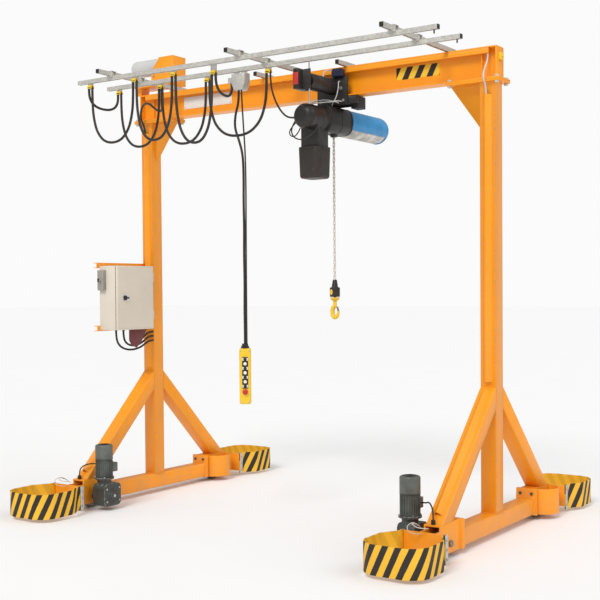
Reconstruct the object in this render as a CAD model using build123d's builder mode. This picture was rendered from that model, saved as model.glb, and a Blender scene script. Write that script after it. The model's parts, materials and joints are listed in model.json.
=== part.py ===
"""Mobile electric gantry crane: two wheeled portals, a runway beam and a chain hoist.

Millimetres, +Z up. The origin is on the floor, midway between the portals and the wheel pairs.
X runs along the beam, Y along the base tubes, and the festoon side is -Y.
"""

import os
from math import radians, sqrt, tan

from build123d import *

os.makedirs("parts", exist_ok=True)

# Driving dimensions
SPAN = 3288  # outer face to outer face of the two columns
BEAM_TOP = 3412
TUBE = 120  # side of every square tube
WHEEL_RADIUS = 100
BASE_HALF = 600  # half the length of a base tube
WHEEL_SETBACK = 170  # from a base tube's end to the axle
WHEEL_Y = BASE_HALF + WHEEL_SETBACK
CUT_OVERRUN = 20
RUN_GAP = 5  # moving pieces keep this far from others
PIN_GAP = 1  # pins and axles in their holes

PORTAL_X = (SPAN - TUBE) / 2
PORTALS = (-PORTAL_X, PORTAL_X)
ENDS = (-1, 1)
HALF_TUBE = TUBE / 2


def block(x, y, z, mode=Mode.ADD):
    """Box between two X, two Y and two Z values."""
    with BuildSketch(Plane.XY.offset(min(z))) as outline:
        with Locations((sum(x) / 2, sum(y) / 2)):
            Rectangle(abs(x[1] - x[0]), abs(y[1] - y[0]))
    extrude(outline.sketch, amount=abs(z[1] - z[0]), mode=mode)


def rod(start, axis, radius, length, mode=Mode.ADD):
    """Round bar from a point along an axis."""
    with BuildSketch(Plane(origin=start, z_dir=axis)) as outline:
        Circle(radius)
    extrude(outline.sketch, amount=length, mode=mode)


def hexagon(start, axis, across, height):
    """Hexagon head or nut standing on a point along an axis."""
    with BuildSketch(Plane(origin=start, z_dir=axis)) as outline:
        RegularPolygon(across / 2, 6)
    extrude(outline.sketch, amount=height)


def plate_x(outline_points, x0, x1, mode=Mode.ADD):
    """Outline of (Y, Z) points made thick from x0 to the larger x1."""
    with BuildSketch(Plane(origin=(x0, 0, 0), x_dir=(0, 1, 0), z_dir=(1, 0, 0))) as outline:
        with BuildLine():
            Polyline(*outline_points, close=True)
        make_face()
    extrude(outline.sketch, amount=x1 - x0, mode=mode)


def plate_y(outline_points, y0, y1, mode=Mode.ADD):
    """Outline of (X, Z) points made thick from y0 to the larger y1."""
    with BuildSketch(Plane(origin=(0, y1, 0), x_dir=(1, 0, 0), z_dir=(0, -1, 0))) as outline:
        with BuildLine():
            Polyline(*outline_points, close=True)
        make_face()
    extrude(outline.sketch, amount=y1 - y0, mode=mode)


def about(middle, half):
    """Pair of values half a width each way from a middle."""
    return (middle - half, middle + half)


def finish(piece, name):
    """Label a piece and write it."""
    piece.label = name
    export_step(piece, f"parts/{name}.step")


# Base tubes, with a flange plate on each end
BASE_Z = (46, 166)
FLANGE_THICK = 15
FLANGE_Z = (40, 237)
FLANGE_HALF = 80
EAR_BOLT_ACROSS = 24
EAR_BOLT_HEAD = 12
EAR_BOLT_X = 45
EAR_BOLT_Z = 202
BLOCK_START = BASE_HALF + 2 * FLANGE_THICK

with BuildPart() as base_tubes:
    for portal in PORTALS:
        block(about(portal, HALF_TUBE), about(0, BASE_HALF), BASE_Z)
        for end in ENDS:
            flange_y = (end * BASE_HALF, end * (BASE_HALF + FLANGE_THICK))
            block(about(portal, FLANGE_HALF), flange_y, FLANGE_Z)
finish(base_tubes.part, "base_tubes")

with BuildPart() as flange_bolts:
    for portal in PORTALS:
        for end in ENDS:
            for side in ENDS:
                bolt_x = portal + side * EAR_BOLT_X
                inner = (bolt_x, end * BASE_HALF, EAR_BOLT_Z)
                hexagon(inner, (0, -end, 0), EAR_BOLT_ACROSS, EAR_BOLT_HEAD)
finish(flange_bolts.part, "flange_bolts")

# Columns, each with a head plate and one gusset
BEAM_HEIGHT = 220
BEAM_WIDTH = 120
FLANGE_OF_BEAM = 10
WEB = 7
HEAD_THICK = 14
HEAD_HALF_Y = 95
HEAD_REACH = 363  # how far a head plate runs in from a column's outer face
HEAD_INNER_X = SPAN / 2 - HEAD_REACH
HEAD_OVERHANG = 44
GUSSET_THICK = 12
GUSSET_DROP = 330
BEAM_BOTTOM = BEAM_TOP - BEAM_HEIGHT
COLUMN_TOP = BEAM_BOTTOM - 2 * HEAD_THICK
HEAD_OUTER_X = SPAN / 2 + HEAD_OVERHANG
COLUMN_INNER_X = SPAN / 2 - TUBE

with BuildPart() as columns:
    for portal, side in zip(PORTALS, ENDS):
        block(about(portal, HALF_TUBE), about(0, HALF_TUBE), (BASE_Z[1], COLUMN_TOP))
        head_x = (side * HEAD_INNER_X, side * HEAD_OUTER_X)
        block(head_x, about(0, HEAD_HALF_Y), (COLUMN_TOP, COLUMN_TOP + HEAD_THICK))
        gusset = (
            (side * HEAD_INNER_X, COLUMN_TOP),
            (side * COLUMN_INNER_X, COLUMN_TOP),
            (side * COLUMN_INNER_X, COLUMN_TOP - GUSSET_DROP),
        )
        plate_y(gusset, -GUSSET_THICK / 2, GUSSET_THICK / 2)
finish(columns.part, "columns")

# Braces at 45 degrees from the columns down to the wheel blocks
BRACE_SETBACK = 32  # from the end of the wheel block to the brace
BLOCK_REACH = 135  # from the axle to the end of the wheel block
BLOCK_END = WHEEL_Y + BLOCK_REACH
BRACE_UPRIGHT_CUT = 155  # height of the slanting tube's cut on the column
BLOCK_TOP = FLANGE_Z[1]
BRACE_FOOT_OUTER = BLOCK_END - BRACE_SETBACK
BRACE_TOP = BRACE_FOOT_OUTER - HALF_TUBE + BLOCK_TOP
BRACE_FOOT_INNER = BRACE_FOOT_OUTER - BRACE_UPRIGHT_CUT

with BuildPart() as braces:
    for portal in PORTALS:
        for end in ENDS:
            brace = (
                (end * HALF_TUBE, BRACE_TOP - BRACE_UPRIGHT_CUT),
                (end * HALF_TUBE, BRACE_TOP),
                (end * BRACE_FOOT_OUTER, BLOCK_TOP),
                (end * BRACE_FOOT_INNER, BLOCK_TOP),
            )
            plate_x(brace, portal - HALF_TUBE, portal + HALF_TUBE)
finish(braces.part, "braces")

# Wheel blocks: two side plates, a top plate, a flange and the carrier of the bumper
SIDE_PLATE = 12
SIDE_BOTTOM = 40
ARM_Z = (60, 200)
CARRIER_REACH = 230
CARRIER_Y = WHEEL_Y + CARRIER_REACH
CARRIER_THICK = 10
CARRIER_HALF = 148
CARRIER_Z = (50, 210)
AXLE_RADIUS = 15
PORTAL_SIDE = HALF_TUBE - SIDE_PLATE  # inner face of a side plate, from the portal's middle

with BuildPart() as wheel_blocks:
    for portal in PORTALS:
        for end in ENDS:
            flange_y = (end * (BASE_HALF + FLANGE_THICK), end * BLOCK_START)
            block(about(portal, FLANGE_HALF), flange_y, FLANGE_Z)
            cheek = (
                (end * BLOCK_START, SIDE_BOTTOM),
                (end * BLOCK_START, BLOCK_TOP),
                (end * BLOCK_END, BLOCK_TOP),
                (end * BLOCK_END, ARM_Z[1]),
                (end * CARRIER_Y, ARM_Z[1]),
                (end * CARRIER_Y, ARM_Z[0]),
                (end * BLOCK_END, SIDE_BOTTOM),
            )
            plate_x(cheek, portal - HALF_TUBE, portal - PORTAL_SIDE)
            plate_x(cheek, portal + PORTAL_SIDE, portal + HALF_TUBE)
            roof_y = (end * BLOCK_START, end * BLOCK_END)
            block(about(portal, HALF_TUBE), roof_y, (BLOCK_TOP - SIDE_PLATE, BLOCK_TOP))
            carrier_y = (end * CARRIER_Y, end * (CARRIER_Y + CARRIER_THICK))
            block(about(portal, CARRIER_HALF), carrier_y, CARRIER_Z)
            hole = (portal - HALF_TUBE - CUT_OVERRUN, end * WHEEL_Y, WHEEL_RADIUS)
            through = TUBE + 2 * CUT_OVERRUN
            rod(hole, (1, 0, 0), AXLE_RADIUS + PIN_GAP, through, Mode.SUBTRACT)
finish(wheel_blocks.part, "wheel_blocks")

# Wheels, each turning with its axle
TREAD_HALF = 28
HUB_HALF = PORTAL_SIDE - RUN_GAP
HUB_RADIUS = 38
RIM_RADIUS = 72
RIM_STEP = 8
AXLE_END = HALF_TUBE + 14
NUT_RADIUS = 22
NUT_THICK = 8
EDGE_ROUND = 6
WHEEL_NAMES = {(-1, -1): "left_near", (-1, 1): "left_far", (1, -1): "right_near", (1, 1): "right_far"}

for (side, end), place in WHEEL_NAMES.items():
    middle = side * PORTAL_X
    with BuildPart() as wheel:
        axle = Plane(origin=(middle, end * WHEEL_Y, WHEEL_RADIUS), x_dir=(1, 0, 0), z_dir=(0, -1, 0))
        with BuildSketch(axle) as half_section:
            with BuildLine():
                Polyline(
                    (-AXLE_END, 0),
                    (-AXLE_END, NUT_RADIUS),
                    (-AXLE_END + NUT_THICK, NUT_RADIUS),
                    (-AXLE_END + NUT_THICK, AXLE_RADIUS),
                    (-HUB_HALF, AXLE_RADIUS),
                    (-HUB_HALF, HUB_RADIUS),
                    (-TREAD_HALF + RIM_STEP, HUB_RADIUS),
                    (-TREAD_HALF + RIM_STEP, RIM_RADIUS),
                    (-TREAD_HALF, RIM_RADIUS),
                    (-TREAD_HALF, WHEEL_RADIUS - EDGE_ROUND),
                    (-TREAD_HALF + EDGE_ROUND, WHEEL_RADIUS),
                    (TREAD_HALF - EDGE_ROUND, WHEEL_RADIUS),
                    (TREAD_HALF, WHEEL_RADIUS - EDGE_ROUND),
                    (TREAD_HALF, RIM_RADIUS),
                    (TREAD_HALF - RIM_STEP, RIM_RADIUS),
                    (TREAD_HALF - RIM_STEP, HUB_RADIUS),
                    (HUB_HALF, HUB_RADIUS),
                    (HUB_HALF, AXLE_RADIUS),
                    (AXLE_END - NUT_THICK, AXLE_RADIUS),
                    (AXLE_END - NUT_THICK, NUT_RADIUS),
                    (AXLE_END, NUT_RADIUS),
                    (AXLE_END, 0),
                    close=True,
                )
            make_face()
        revolve(axis=Axis(axle.origin, (1, 0, 0)))
    finish(wheel.part, f"{place}_wheel")

# Bent guard plates round the axle ends of the far wheels, both on the +X side
GUARD_RADIUS = 125
GUARD_THICK = 6
GUARD_Z = (42, 232)

with BuildPart() as axle_guards:
    for portal in PORTALS:
        face_x = portal + HALF_TUBE
        with BuildSketch(Plane.XY.offset(GUARD_Z[0])) as half_ring:
            with Locations((face_x, WHEEL_Y)):
                Circle(GUARD_RADIUS)
                Circle(GUARD_RADIUS - GUARD_THICK, mode=Mode.SUBTRACT)
            with Locations((face_x - GUARD_RADIUS, WHEEL_Y)):
                Rectangle(2 * GUARD_RADIUS, 2 * GUARD_RADIUS + CUT_OVERRUN, mode=Mode.SUBTRACT)
        extrude(half_ring.sketch, amount=GUARD_Z[1] - GUARD_Z[0])
finish(axle_guards.part, "axle_guards")

# Bumper bands: a sprung loop in front of each wheel block
BAND_THICK = 8
BAND_Z = (28, 215)
BAND_WAIST = CARRIER_HALF
BAND_HALF = 225
BAND_STRAIGHT = 62
BAND_FLARE = 175
BAND_REACH = 480
BAND_STRAIGHT_Y = CARRIER_Y + BAND_STRAIGHT
BAND_FLARE_Y = CARRIER_Y + BAND_FLARE
BAND_FRONT_Y = CARRIER_Y + BAND_REACH
BAND_CORNER = 140
FLARE_ROUND = 60
STRIP_WIDTH = 34
STRIP_THICK = 5
BAND_BACK_Y = CARRIER_Y

with BuildPart() as bumper_bands:
    for portal in PORTALS:
        for end in ENDS:
            with BuildSketch(Plane.XY.offset(BAND_Z[0])) as loop:
                with BuildLine():
                    Polyline(
                        (portal - BAND_WAIST - BAND_THICK, end * BAND_BACK_Y),
                        (portal - BAND_WAIST - BAND_THICK, end * BAND_STRAIGHT_Y),
                        (portal - BAND_HALF, end * BAND_FLARE_Y),
                        (portal - BAND_HALF, end * BAND_FRONT_Y),
                        (portal + BAND_HALF, end * BAND_FRONT_Y),
                        (portal + BAND_HALF, end * BAND_FLARE_Y),
                        (portal + BAND_WAIST + BAND_THICK, end * BAND_STRAIGHT_Y),
                        (portal + BAND_WAIST + BAND_THICK, end * BAND_BACK_Y),
                        close=True,
                    )
                make_face()
                rows = loop.vertices().group_by(lambda corner: round(abs(corner.Y)))
                fillet(rows[-1], radius=BAND_CORNER)
                rows = loop.vertices().group_by(lambda corner: round(abs(corner.Y)))
                fillet(rows[2], radius=FLARE_ROUND)
                rows = loop.vertices().group_by(lambda corner: round(abs(corner.Y)))
                fillet(rows[1], radius=FLARE_ROUND)
                offset(amount=-BAND_THICK, mode=Mode.SUBTRACT)
                with Locations((portal, end * BAND_BACK_Y)):
                    Rectangle(2 * BAND_WAIST, 2 * CUT_OVERRUN, mode=Mode.SUBTRACT)
            extrude(loop.sketch, amount=BAND_Z[1] - BAND_Z[0])
finish(bumper_bands.part, "bumper_bands")

with BuildPart() as clamp_strips:
    for portal in PORTALS:
        for end in ENDS:
            for side in ENDS:
                band_x = CARRIER_HALF + BAND_THICK
                strip_x = (portal + side * band_x, portal + side * (band_x + STRIP_THICK))
                block(strip_x, (end * CARRIER_Y, end * (CARRIER_Y + STRIP_WIDTH)), BAND_Z)
finish(clamp_strips.part, "clamp_strips")

# Travel drives on the inner side of the near wheels: gearbox, upright motor, terminal box
GEAR_NEAR = 140  # gearbox faces, from the portal's middle
GEAR_FAR = 270
GEAR_BEHIND = 115
GEAR_BEFORE = 70
GEAR_Y = (-WHEEL_Y - GEAR_BEHIND, -WHEEL_Y + GEAR_BEFORE)
GEAR_Z = (36, 215)
GEAR_ROUND = 38
GEAR_HUB_RADIUS = 48
MOTOR_SHIFT = 50
MOTOR_Y = -WHEEL_Y - MOTOR_SHIFT
MOTOR_OFFSET = (GEAR_NEAR + GEAR_FAR) / 2
NECK_RADIUS = 55
MOTOR_FLANGE_Z = (250, 266)
MOTOR_FLANGE_RADIUS = 78
MOTOR_RADIUS = 60
MOTOR_TOP = 405
COWL_RADIUS = 69
COWL_TOP = 523
COWL_ROUND = 14
TERMINAL_HALF = 38
TERMINAL_DEPTH = 54
TERMINAL_Z = (300, 372)
SHAFT_BORE = AXLE_RADIUS + RUN_GAP

with BuildPart() as travel_gearboxes:
    for portal, side in zip(PORTALS, ENDS):
        near_x = portal - side * GEAR_NEAR
        far_x = portal - side * GEAR_FAR
        case_plane = Plane(origin=(min(near_x, far_x), 0, 0), x_dir=(0, 1, 0), z_dir=(1, 0, 0))
        with BuildSketch(case_plane) as case:
            with Locations((sum(GEAR_Y) / 2, sum(GEAR_Z) / 2)):
                RectangleRounded(GEAR_Y[1] - GEAR_Y[0], GEAR_Z[1] - GEAR_Z[0], GEAR_ROUND)
        extrude(case.sketch, amount=GEAR_FAR - GEAR_NEAR)
        hub = (portal - side * HALF_TUBE, -WHEEL_Y, WHEEL_RADIUS)
        rod(hub, (-side, 0, 0), GEAR_HUB_RADIUS, GEAR_NEAR - HALF_TUBE)
        bore_length = GEAR_NEAR - HALF_TUBE + CUT_OVERRUN
        rod(hub, (-side, 0, 0), NUT_RADIUS + RUN_GAP, bore_length, Mode.SUBTRACT)
        neck = (portal - side * MOTOR_OFFSET, MOTOR_Y, GEAR_Z[1] - GEAR_ROUND)
        rod(neck, (0, 0, 1), NECK_RADIUS, MOTOR_FLANGE_Z[0] - GEAR_Z[1] + GEAR_ROUND)
        flange_foot = (neck[0], MOTOR_Y, MOTOR_FLANGE_Z[0])
        rod(flange_foot, (0, 0, 1), MOTOR_FLANGE_RADIUS, MOTOR_FLANGE_Z[1] - MOTOR_FLANGE_Z[0])
finish(travel_gearboxes.part, "travel_gearboxes")

with BuildPart() as travel_motors:
    for portal, side in zip(PORTALS, ENDS):
        foot = (portal - side * MOTOR_OFFSET, MOTOR_Y, MOTOR_FLANGE_Z[1])
        rod(foot, (0, 0, 1), MOTOR_RADIUS, MOTOR_TOP - MOTOR_FLANGE_Z[1])
        rod((foot[0], MOTOR_Y, MOTOR_TOP), (0, 0, 1), COWL_RADIUS, COWL_TOP - MOTOR_TOP)
    top_rims = travel_motors.edges().filter_by(GeomType.CIRCLE).group_by(Axis.Z)[-1]
    fillet(top_rims, radius=COWL_ROUND)
finish(travel_motors.part, "travel_motors")

with BuildPart() as terminal_boxes:
    for portal, side in zip(PORTALS, ENDS):
        box_x = about(portal - side * MOTOR_OFFSET, TERMINAL_HALF)
        box_y = (MOTOR_Y, MOTOR_Y + MOTOR_RADIUS + TERMINAL_DEPTH)
        block(box_x, box_y, TERMINAL_Z)
        foot = (portal - side * MOTOR_OFFSET, MOTOR_Y, TERMINAL_Z[0] - CUT_OVERRUN)
        height = TERMINAL_Z[1] - TERMINAL_Z[0] + 2 * CUT_OVERRUN
        rod(foot, (0, 0, 1), MOTOR_RADIUS, height, Mode.SUBTRACT)
        behind = (box_y[0] - CUT_OVERRUN, MOTOR_Y + MOTOR_RADIUS / sqrt(2))
        block(box_x, behind, TERMINAL_Z, Mode.SUBTRACT)
finish(terminal_boxes.part, "terminal_boxes")

# Runway beam: I-section with end plates and sole plates
END_PLATE = 10
STIFFENER = 10
STIFFENER_X = COLUMN_INNER_X
STIFFENER_HALF = 30

with BuildPart() as runway_beam:
    half = BEAM_WIDTH / 2
    section = (
        (-half, BEAM_BOTTOM),
        (half, BEAM_BOTTOM),
        (half, BEAM_BOTTOM + FLANGE_OF_BEAM),
        (WEB / 2, BEAM_BOTTOM + FLANGE_OF_BEAM),
        (WEB / 2, BEAM_TOP - FLANGE_OF_BEAM),
        (half, BEAM_TOP - FLANGE_OF_BEAM),
        (half, BEAM_TOP),
        (-half, BEAM_TOP),
        (-half, BEAM_TOP - FLANGE_OF_BEAM),
        (-WEB / 2, BEAM_TOP - FLANGE_OF_BEAM),
        (-WEB / 2, BEAM_BOTTOM + FLANGE_OF_BEAM),
        (-half, BEAM_BOTTOM + FLANGE_OF_BEAM),
    )
    plate_x(section, -SPAN / 2, SPAN / 2)
    for side in ENDS:
        sole_x = (side * HEAD_INNER_X, side * HEAD_OUTER_X)
        block(sole_x, about(0, HEAD_HALF_Y), (BEAM_BOTTOM - HEAD_THICK, BEAM_BOTTOM))
        cap_x = (side * SPAN / 2, side * (SPAN / 2 + END_PLATE))
        block(cap_x, about(0, half), (BEAM_BOTTOM, BEAM_TOP))
        rib_x = (side * STIFFENER_X, side * (STIFFENER_X + STIFFENER))
        block(rib_x, about(0, STIFFENER_HALF), (BEAM_BOTTOM, BEAM_TOP))
finish(runway_beam.part, "runway_beam")

HEAD_BOLT_ACROSS = 34
HEAD_BOLT_HEIGHT = 14
HEAD_BOLT_INSET = 24

with BuildPart() as head_bolts:
    for side in ENDS:
        for along in (HEAD_INNER_X + HEAD_BOLT_INSET, HEAD_OUTER_X - HEAD_BOLT_INSET):
            for across in ENDS:
                bolt_y = across * (HEAD_HALF_Y - HEAD_BOLT_ACROSS / 2)
                hexagon((side * along, bolt_y, BEAM_BOTTOM), (0, 0, 1), HEAD_BOLT_ACROSS, HEAD_BOLT_HEIGHT)
                hexagon((side * along, bolt_y, COLUMN_TOP), (0, 0, -1), HEAD_BOLT_ACROSS, HEAD_BOLT_HEIGHT)
finish(head_bolts.part, "head_bolts")

# Cable ducts: angle iron laid as a tent on the columns and near braces, and one under the top flange
DUCT_HALF = 35
DUCT_RISE = 35
DUCT_WALL = 5
DUCT_CLEAR = 35
DUCT_DROP = 84
DUCT_Z = (BRACE_TOP + DUCT_CLEAR, COLUMN_TOP - DUCT_DROP)
BRACE_DUCT_START = 42
BRACE_DUCT_SHORT = 70
BRACE_RUN = sqrt(2) * (BRACE_FOOT_OUTER - HALF_TUBE)
BRACE_DUCT_LENGTH = BRACE_RUN - BRACE_DUCT_START - BRACE_DUCT_SHORT
BEAM_DUCT_SHORT = 50
BEAM_DUCT_X = (BEAM_DUCT_SHORT - SPAN / 2, SPAN / 2 - BEAM_DUCT_SHORT)
BEAM_DUCT_DEPTH = 28
BEAM_DUCT_HEIGHT = 36


def tent(plane, length):
    """Angle iron with its edges on the plane's local X line, its ridge along local +Y."""
    with BuildSketch(plane) as angle:
        with BuildLine():
            Polyline(
                (-DUCT_HALF, 0),
                (0, DUCT_RISE),
                (DUCT_HALF, 0),
                (DUCT_HALF - DUCT_WALL, 0),
                (0, DUCT_RISE - DUCT_WALL),
                (DUCT_WALL - DUCT_HALF, 0),
                close=True,
            )
        make_face()
    extrude(angle.sketch, amount=length)


with BuildPart() as cable_ducts:
    for portal in PORTALS:
        foot = Plane(origin=(portal, -HALF_TUBE, DUCT_Z[0]), x_dir=(-1, 0, 0), z_dir=(0, 0, 1))
        tent(foot, DUCT_Z[1] - DUCT_Z[0])
        start = BRACE_DUCT_START / sqrt(2)
        head = Plane(
            origin=(portal, -HALF_TUBE - start, BRACE_TOP - start),
            x_dir=(1, 0, 0),
            z_dir=(0, -1, -1),
        )
        tent(head, BRACE_DUCT_LENGTH)
    duct_z = (BEAM_TOP - FLANGE_OF_BEAM - BEAM_DUCT_HEIGHT, BEAM_TOP - FLANGE_OF_BEAM)
    duct_y = (-BEAM_WIDTH / 2, -BEAM_WIDTH / 2 + BEAM_DUCT_DEPTH)
    block(BEAM_DUCT_X, duct_y, duct_z)
finish(cable_ducts.part, "cable_ducts")

# Festoon: cross arms on the beam, two long rails under them, short stub arms, end caps
RAIL_WIDTH = 30
RAIL_HEIGHT = 32
RAIL_WALL = 3
RAIL_SLOT = 12
RAIL_SHORT = 44
RAIL_HALF = SPAN / 2 - RAIL_SHORT
NEAR_RAIL_Y = -823
FAR_RAIL_Y = -497
LEFT_ARM = 401  # from the left column's outer face
RIGHT_ARM = 369
MIDDLE_ARM = 10
ARM_PLACES = (LEFT_ARM - SPAN / 2, MIDDLE_ARM, SPAN / 2 - RIGHT_ARM)
ARM_NEAR_Y = -975
STUB_PLACES = (-331, 428)
STUB_NEAR_Y = -175
CAP_THICK = 6
RAIL_Z = BEAM_TOP - RAIL_HEIGHT


def c_rail(plane, length):
    """C-rail whose slot looks down, with the middle of its underside on the plane's origin."""
    with BuildSketch(plane) as section:
        with BuildLine():
            Polyline(
                (-RAIL_SLOT / 2, 0),
                (-RAIL_WIDTH / 2, 0),
                (-RAIL_WIDTH / 2, RAIL_HEIGHT),
                (RAIL_WIDTH / 2, RAIL_HEIGHT),
                (RAIL_WIDTH / 2, 0),
                (RAIL_SLOT / 2, 0),
                (RAIL_SLOT / 2, RAIL_WALL),
                (RAIL_WIDTH / 2 - RAIL_WALL, RAIL_WALL),
                (RAIL_WIDTH / 2 - RAIL_WALL, RAIL_HEIGHT - RAIL_WALL),
                (RAIL_WALL - RAIL_WIDTH / 2, RAIL_HEIGHT - RAIL_WALL),
                (RAIL_WALL - RAIL_WIDTH / 2, RAIL_WALL),
                (-RAIL_SLOT / 2, RAIL_WALL),
                close=True,
            )
        make_face()
    extrude(section.sketch, amount=length)


def across_beam(x, near_y):
    """Plane for a rail on the beam's top that runs from near_y to the beam's far edge."""
    return Plane(origin=(x, near_y, BEAM_TOP), x_dir=(-1, 0, 0), z_dir=(0, 1, 0))


with BuildPart() as festoon_arms:
    for x in ARM_PLACES:
        c_rail(across_beam(x, ARM_NEAR_Y), BEAM_WIDTH / 2 - ARM_NEAR_Y)
    for x in STUB_PLACES:
        c_rail(across_beam(x, STUB_NEAR_Y), BEAM_WIDTH / 2 - STUB_NEAR_Y)
finish(festoon_arms.part, "festoon_arms")

with BuildPart() as arm_caps:
    caps = [(x, ARM_NEAR_Y) for x in ARM_PLACES] + [(x, STUB_NEAR_Y) for x in STUB_PLACES]
    for x, near_y in caps:
        block(about(x, RAIL_WIDTH / 2), (near_y - CAP_THICK, near_y), (BEAM_TOP, BEAM_TOP + RAIL_HEIGHT))
finish(arm_caps.part, "arm_caps")

with BuildPart() as festoon_rails:
    for y in (NEAR_RAIL_Y, FAR_RAIL_Y):
        c_rail(Plane(origin=(-RAIL_HALF, y, RAIL_Z), x_dir=(0, 1, 0), z_dir=(1, 0, 0)), 2 * RAIL_HALF)
finish(festoon_rails.part, "festoon_rails")

# Cable saddles under the rails, each on a carriage that sits on the rail's lips
SADDLE_RADIUS = 31
SADDLE_HALF_WIDTH = 17
SADDLE_FLAT = 5
SADDLE_Z = 3338
LOW_SADDLE_Z = 3306
CABLE_EXIT = 18
CARRIAGE_HALF = 26
CARRIAGE_WIDTH = 22
CARRIAGE_HEIGHT = 17
NECK_WIDTH = 8
NEAR_SADDLES = ((-1472, SADDLE_Z), (-1000, SADDLE_Z), (-606, SADDLE_Z), (-223, LOW_SADDLE_Z))
FAR_SADDLES = ((-1473, SADDLE_Z), (-1027, SADDLE_Z), (-547, SADDLE_Z), (32, SADDLE_Z))
SADDLES = [(x, NEAR_RAIL_Y, z) for x, z in NEAR_SADDLES] + [(x, FAR_RAIL_Y, z) for x, z in FAR_SADDLES]
LIP_Z = RAIL_Z + RAIL_WALL

with BuildPart() as cable_saddles:
    for x, y, z in SADDLES:
        side = Plane(origin=(x, y + SADDLE_HALF_WIDTH, z), x_dir=(1, 0, 0), z_dir=(0, -1, 0))
        with BuildSketch(side) as dome:
            Circle(SADDLE_RADIUS)
            with Locations((0, -SADDLE_RADIUS)):
                Rectangle(2 * SADDLE_RADIUS, 2 * SADDLE_RADIUS, mode=Mode.SUBTRACT)
            with Locations((0, SADDLE_RADIUS)):
                Rectangle(2 * SADDLE_RADIUS, 2 * SADDLE_FLAT, mode=Mode.SUBTRACT)
        extrude(dome.sketch, amount=2 * SADDLE_HALF_WIDTH)
finish(cable_saddles.part, "cable_saddles")

with BuildPart() as cable_carriages:
    for x, y, z in SADDLES:
        block(about(x, CARRIAGE_HALF), about(y, CARRIAGE_WIDTH / 2), (LIP_Z, LIP_Z + CARRIAGE_HEIGHT))
        block(about(x, CARRIAGE_HALF), about(y, NECK_WIDTH / 2), (z + SADDLE_RADIUS - SADDLE_FLAT, LIP_Z))
finish(cable_carriages.part, "cable_carriages")

# Pendant trolley on the far rail and the pendant control box below it
PENDANT_X = -228
PENDANT_Y = FAR_RAIL_Y - 24  # the cable hangs clear of the loop behind it
PENDANT_TROLLEY_HALF = 62
PENDANT_TROLLEY_Z = (3238, 3364)
PENDANT_TROLLEY_WIDTH = 70
PLUG_REACH = 44
PLUG_Z = (3300, 3340)
TAPER_HALF = 36
TAPER_TOP = 3290
PENDANT_BOX_X = -190
PENDANT_BOX_HALF_X = 44
PENDANT_BOX_HALF_Y = 32
PENDANT_TURN = 35  # the box's face is turned towards the right-hand portal
PENDANT_BOX_Z = (881, 1302)
PENDANT_COLLAR = 18
PENDANT_COLLAR_RADIUS = 31
PENDANT_ROUND = 14
STRIP_HALF = 22
STRIP_Z = (1000, 1236)
BUTTON_PLATE = 4
BUTTON_RADIUS = 13
BUTTON_HEIGHT = 7
BUTTON_COUNT = 7
STOP_RADIUS = 20
STOP_HEIGHT = 24
STOP_Z = 975
PENDANT_NECK_TOP = PENDANT_BOX_Z[1] + PENDANT_COLLAR

with BuildPart() as pendant_trolley:
    body = (
        (PENDANT_X - PENDANT_TROLLEY_HALF, PENDANT_TROLLEY_Z[1]),
        (PENDANT_X - PENDANT_TROLLEY_HALF, TAPER_TOP),
        (PENDANT_X - TAPER_HALF, PENDANT_TROLLEY_Z[0]),
        (PENDANT_X + TAPER_HALF, PENDANT_TROLLEY_Z[0]),
        (PENDANT_X + PENDANT_TROLLEY_HALF, TAPER_TOP),
        (PENDANT_X + PENDANT_TROLLEY_HALF, PENDANT_TROLLEY_Z[1]),
    )
    trolley_y = about(FAR_RAIL_Y, PENDANT_TROLLEY_WIDTH / 2)
    plate_y(body, *trolley_y)
    plug_x = (PENDANT_X - PENDANT_TROLLEY_HALF - PLUG_REACH, PENDANT_X - PENDANT_TROLLEY_HALF)
    block(plug_x, about(FAR_RAIL_Y, CARRIAGE_WIDTH), PLUG_Z)
    for side in ENDS:
        roller_x = about(PENDANT_X + side * TAPER_HALF, CARRIAGE_HALF)
        block(roller_x, about(FAR_RAIL_Y, CARRIAGE_WIDTH / 2), (LIP_Z, LIP_Z + CARRIAGE_HEIGHT))
        block(roller_x, about(FAR_RAIL_Y, NECK_WIDTH / 2), (PENDANT_TROLLEY_Z[1], LIP_Z))
finish(pendant_trolley.part, "pendant_trolley")

turned = Plane(origin=(PENDANT_BOX_X, PENDANT_Y, 0)).rotated((0, 0, PENDANT_TURN))
button_face = Plane(origin=turned.origin, x_dir=turned.x_dir, z_dir=-turned.y_dir).offset(PENDANT_BOX_HALF_Y)

with BuildPart() as pendant_box:
    with BuildSketch(turned.offset(PENDANT_BOX_Z[0])) as outline:
        RectangleRounded(2 * PENDANT_BOX_HALF_X, 2 * PENDANT_BOX_HALF_Y, PENDANT_ROUND)
    extrude(amount=PENDANT_BOX_Z[1] - PENDANT_BOX_Z[0])
finish(pendant_box.part, "pendant_box")

with BuildPart() as pendant_buttons:
    with BuildSketch(button_face) as strip:
        with Locations((0, sum(STRIP_Z) / 2)):
            Rectangle(2 * STRIP_HALF, STRIP_Z[1] - STRIP_Z[0])
    extrude(amount=BUTTON_PLATE)
    pitch = (STRIP_Z[1] - STRIP_Z[0]) / BUTTON_COUNT
    with BuildSketch(button_face.offset(BUTTON_PLATE)) as caps:
        for row in range(BUTTON_COUNT):
            with Locations((0, STRIP_Z[0] + pitch / 2 + row * pitch)):
                Circle(BUTTON_RADIUS)
    extrude(amount=BUTTON_HEIGHT)
    with BuildSketch(button_face) as stop:
        with Locations((0, STOP_Z)):
            Circle(STOP_RADIUS)
    extrude(amount=STOP_HEIGHT)
    collar = (PENDANT_BOX_X, PENDANT_Y, PENDANT_BOX_Z[1])
    rod(collar, (0, 0, 1), PENDANT_COLLAR_RADIUS, PENDANT_COLLAR)
finish(pendant_buttons.part, "pendant_buttons")

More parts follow.
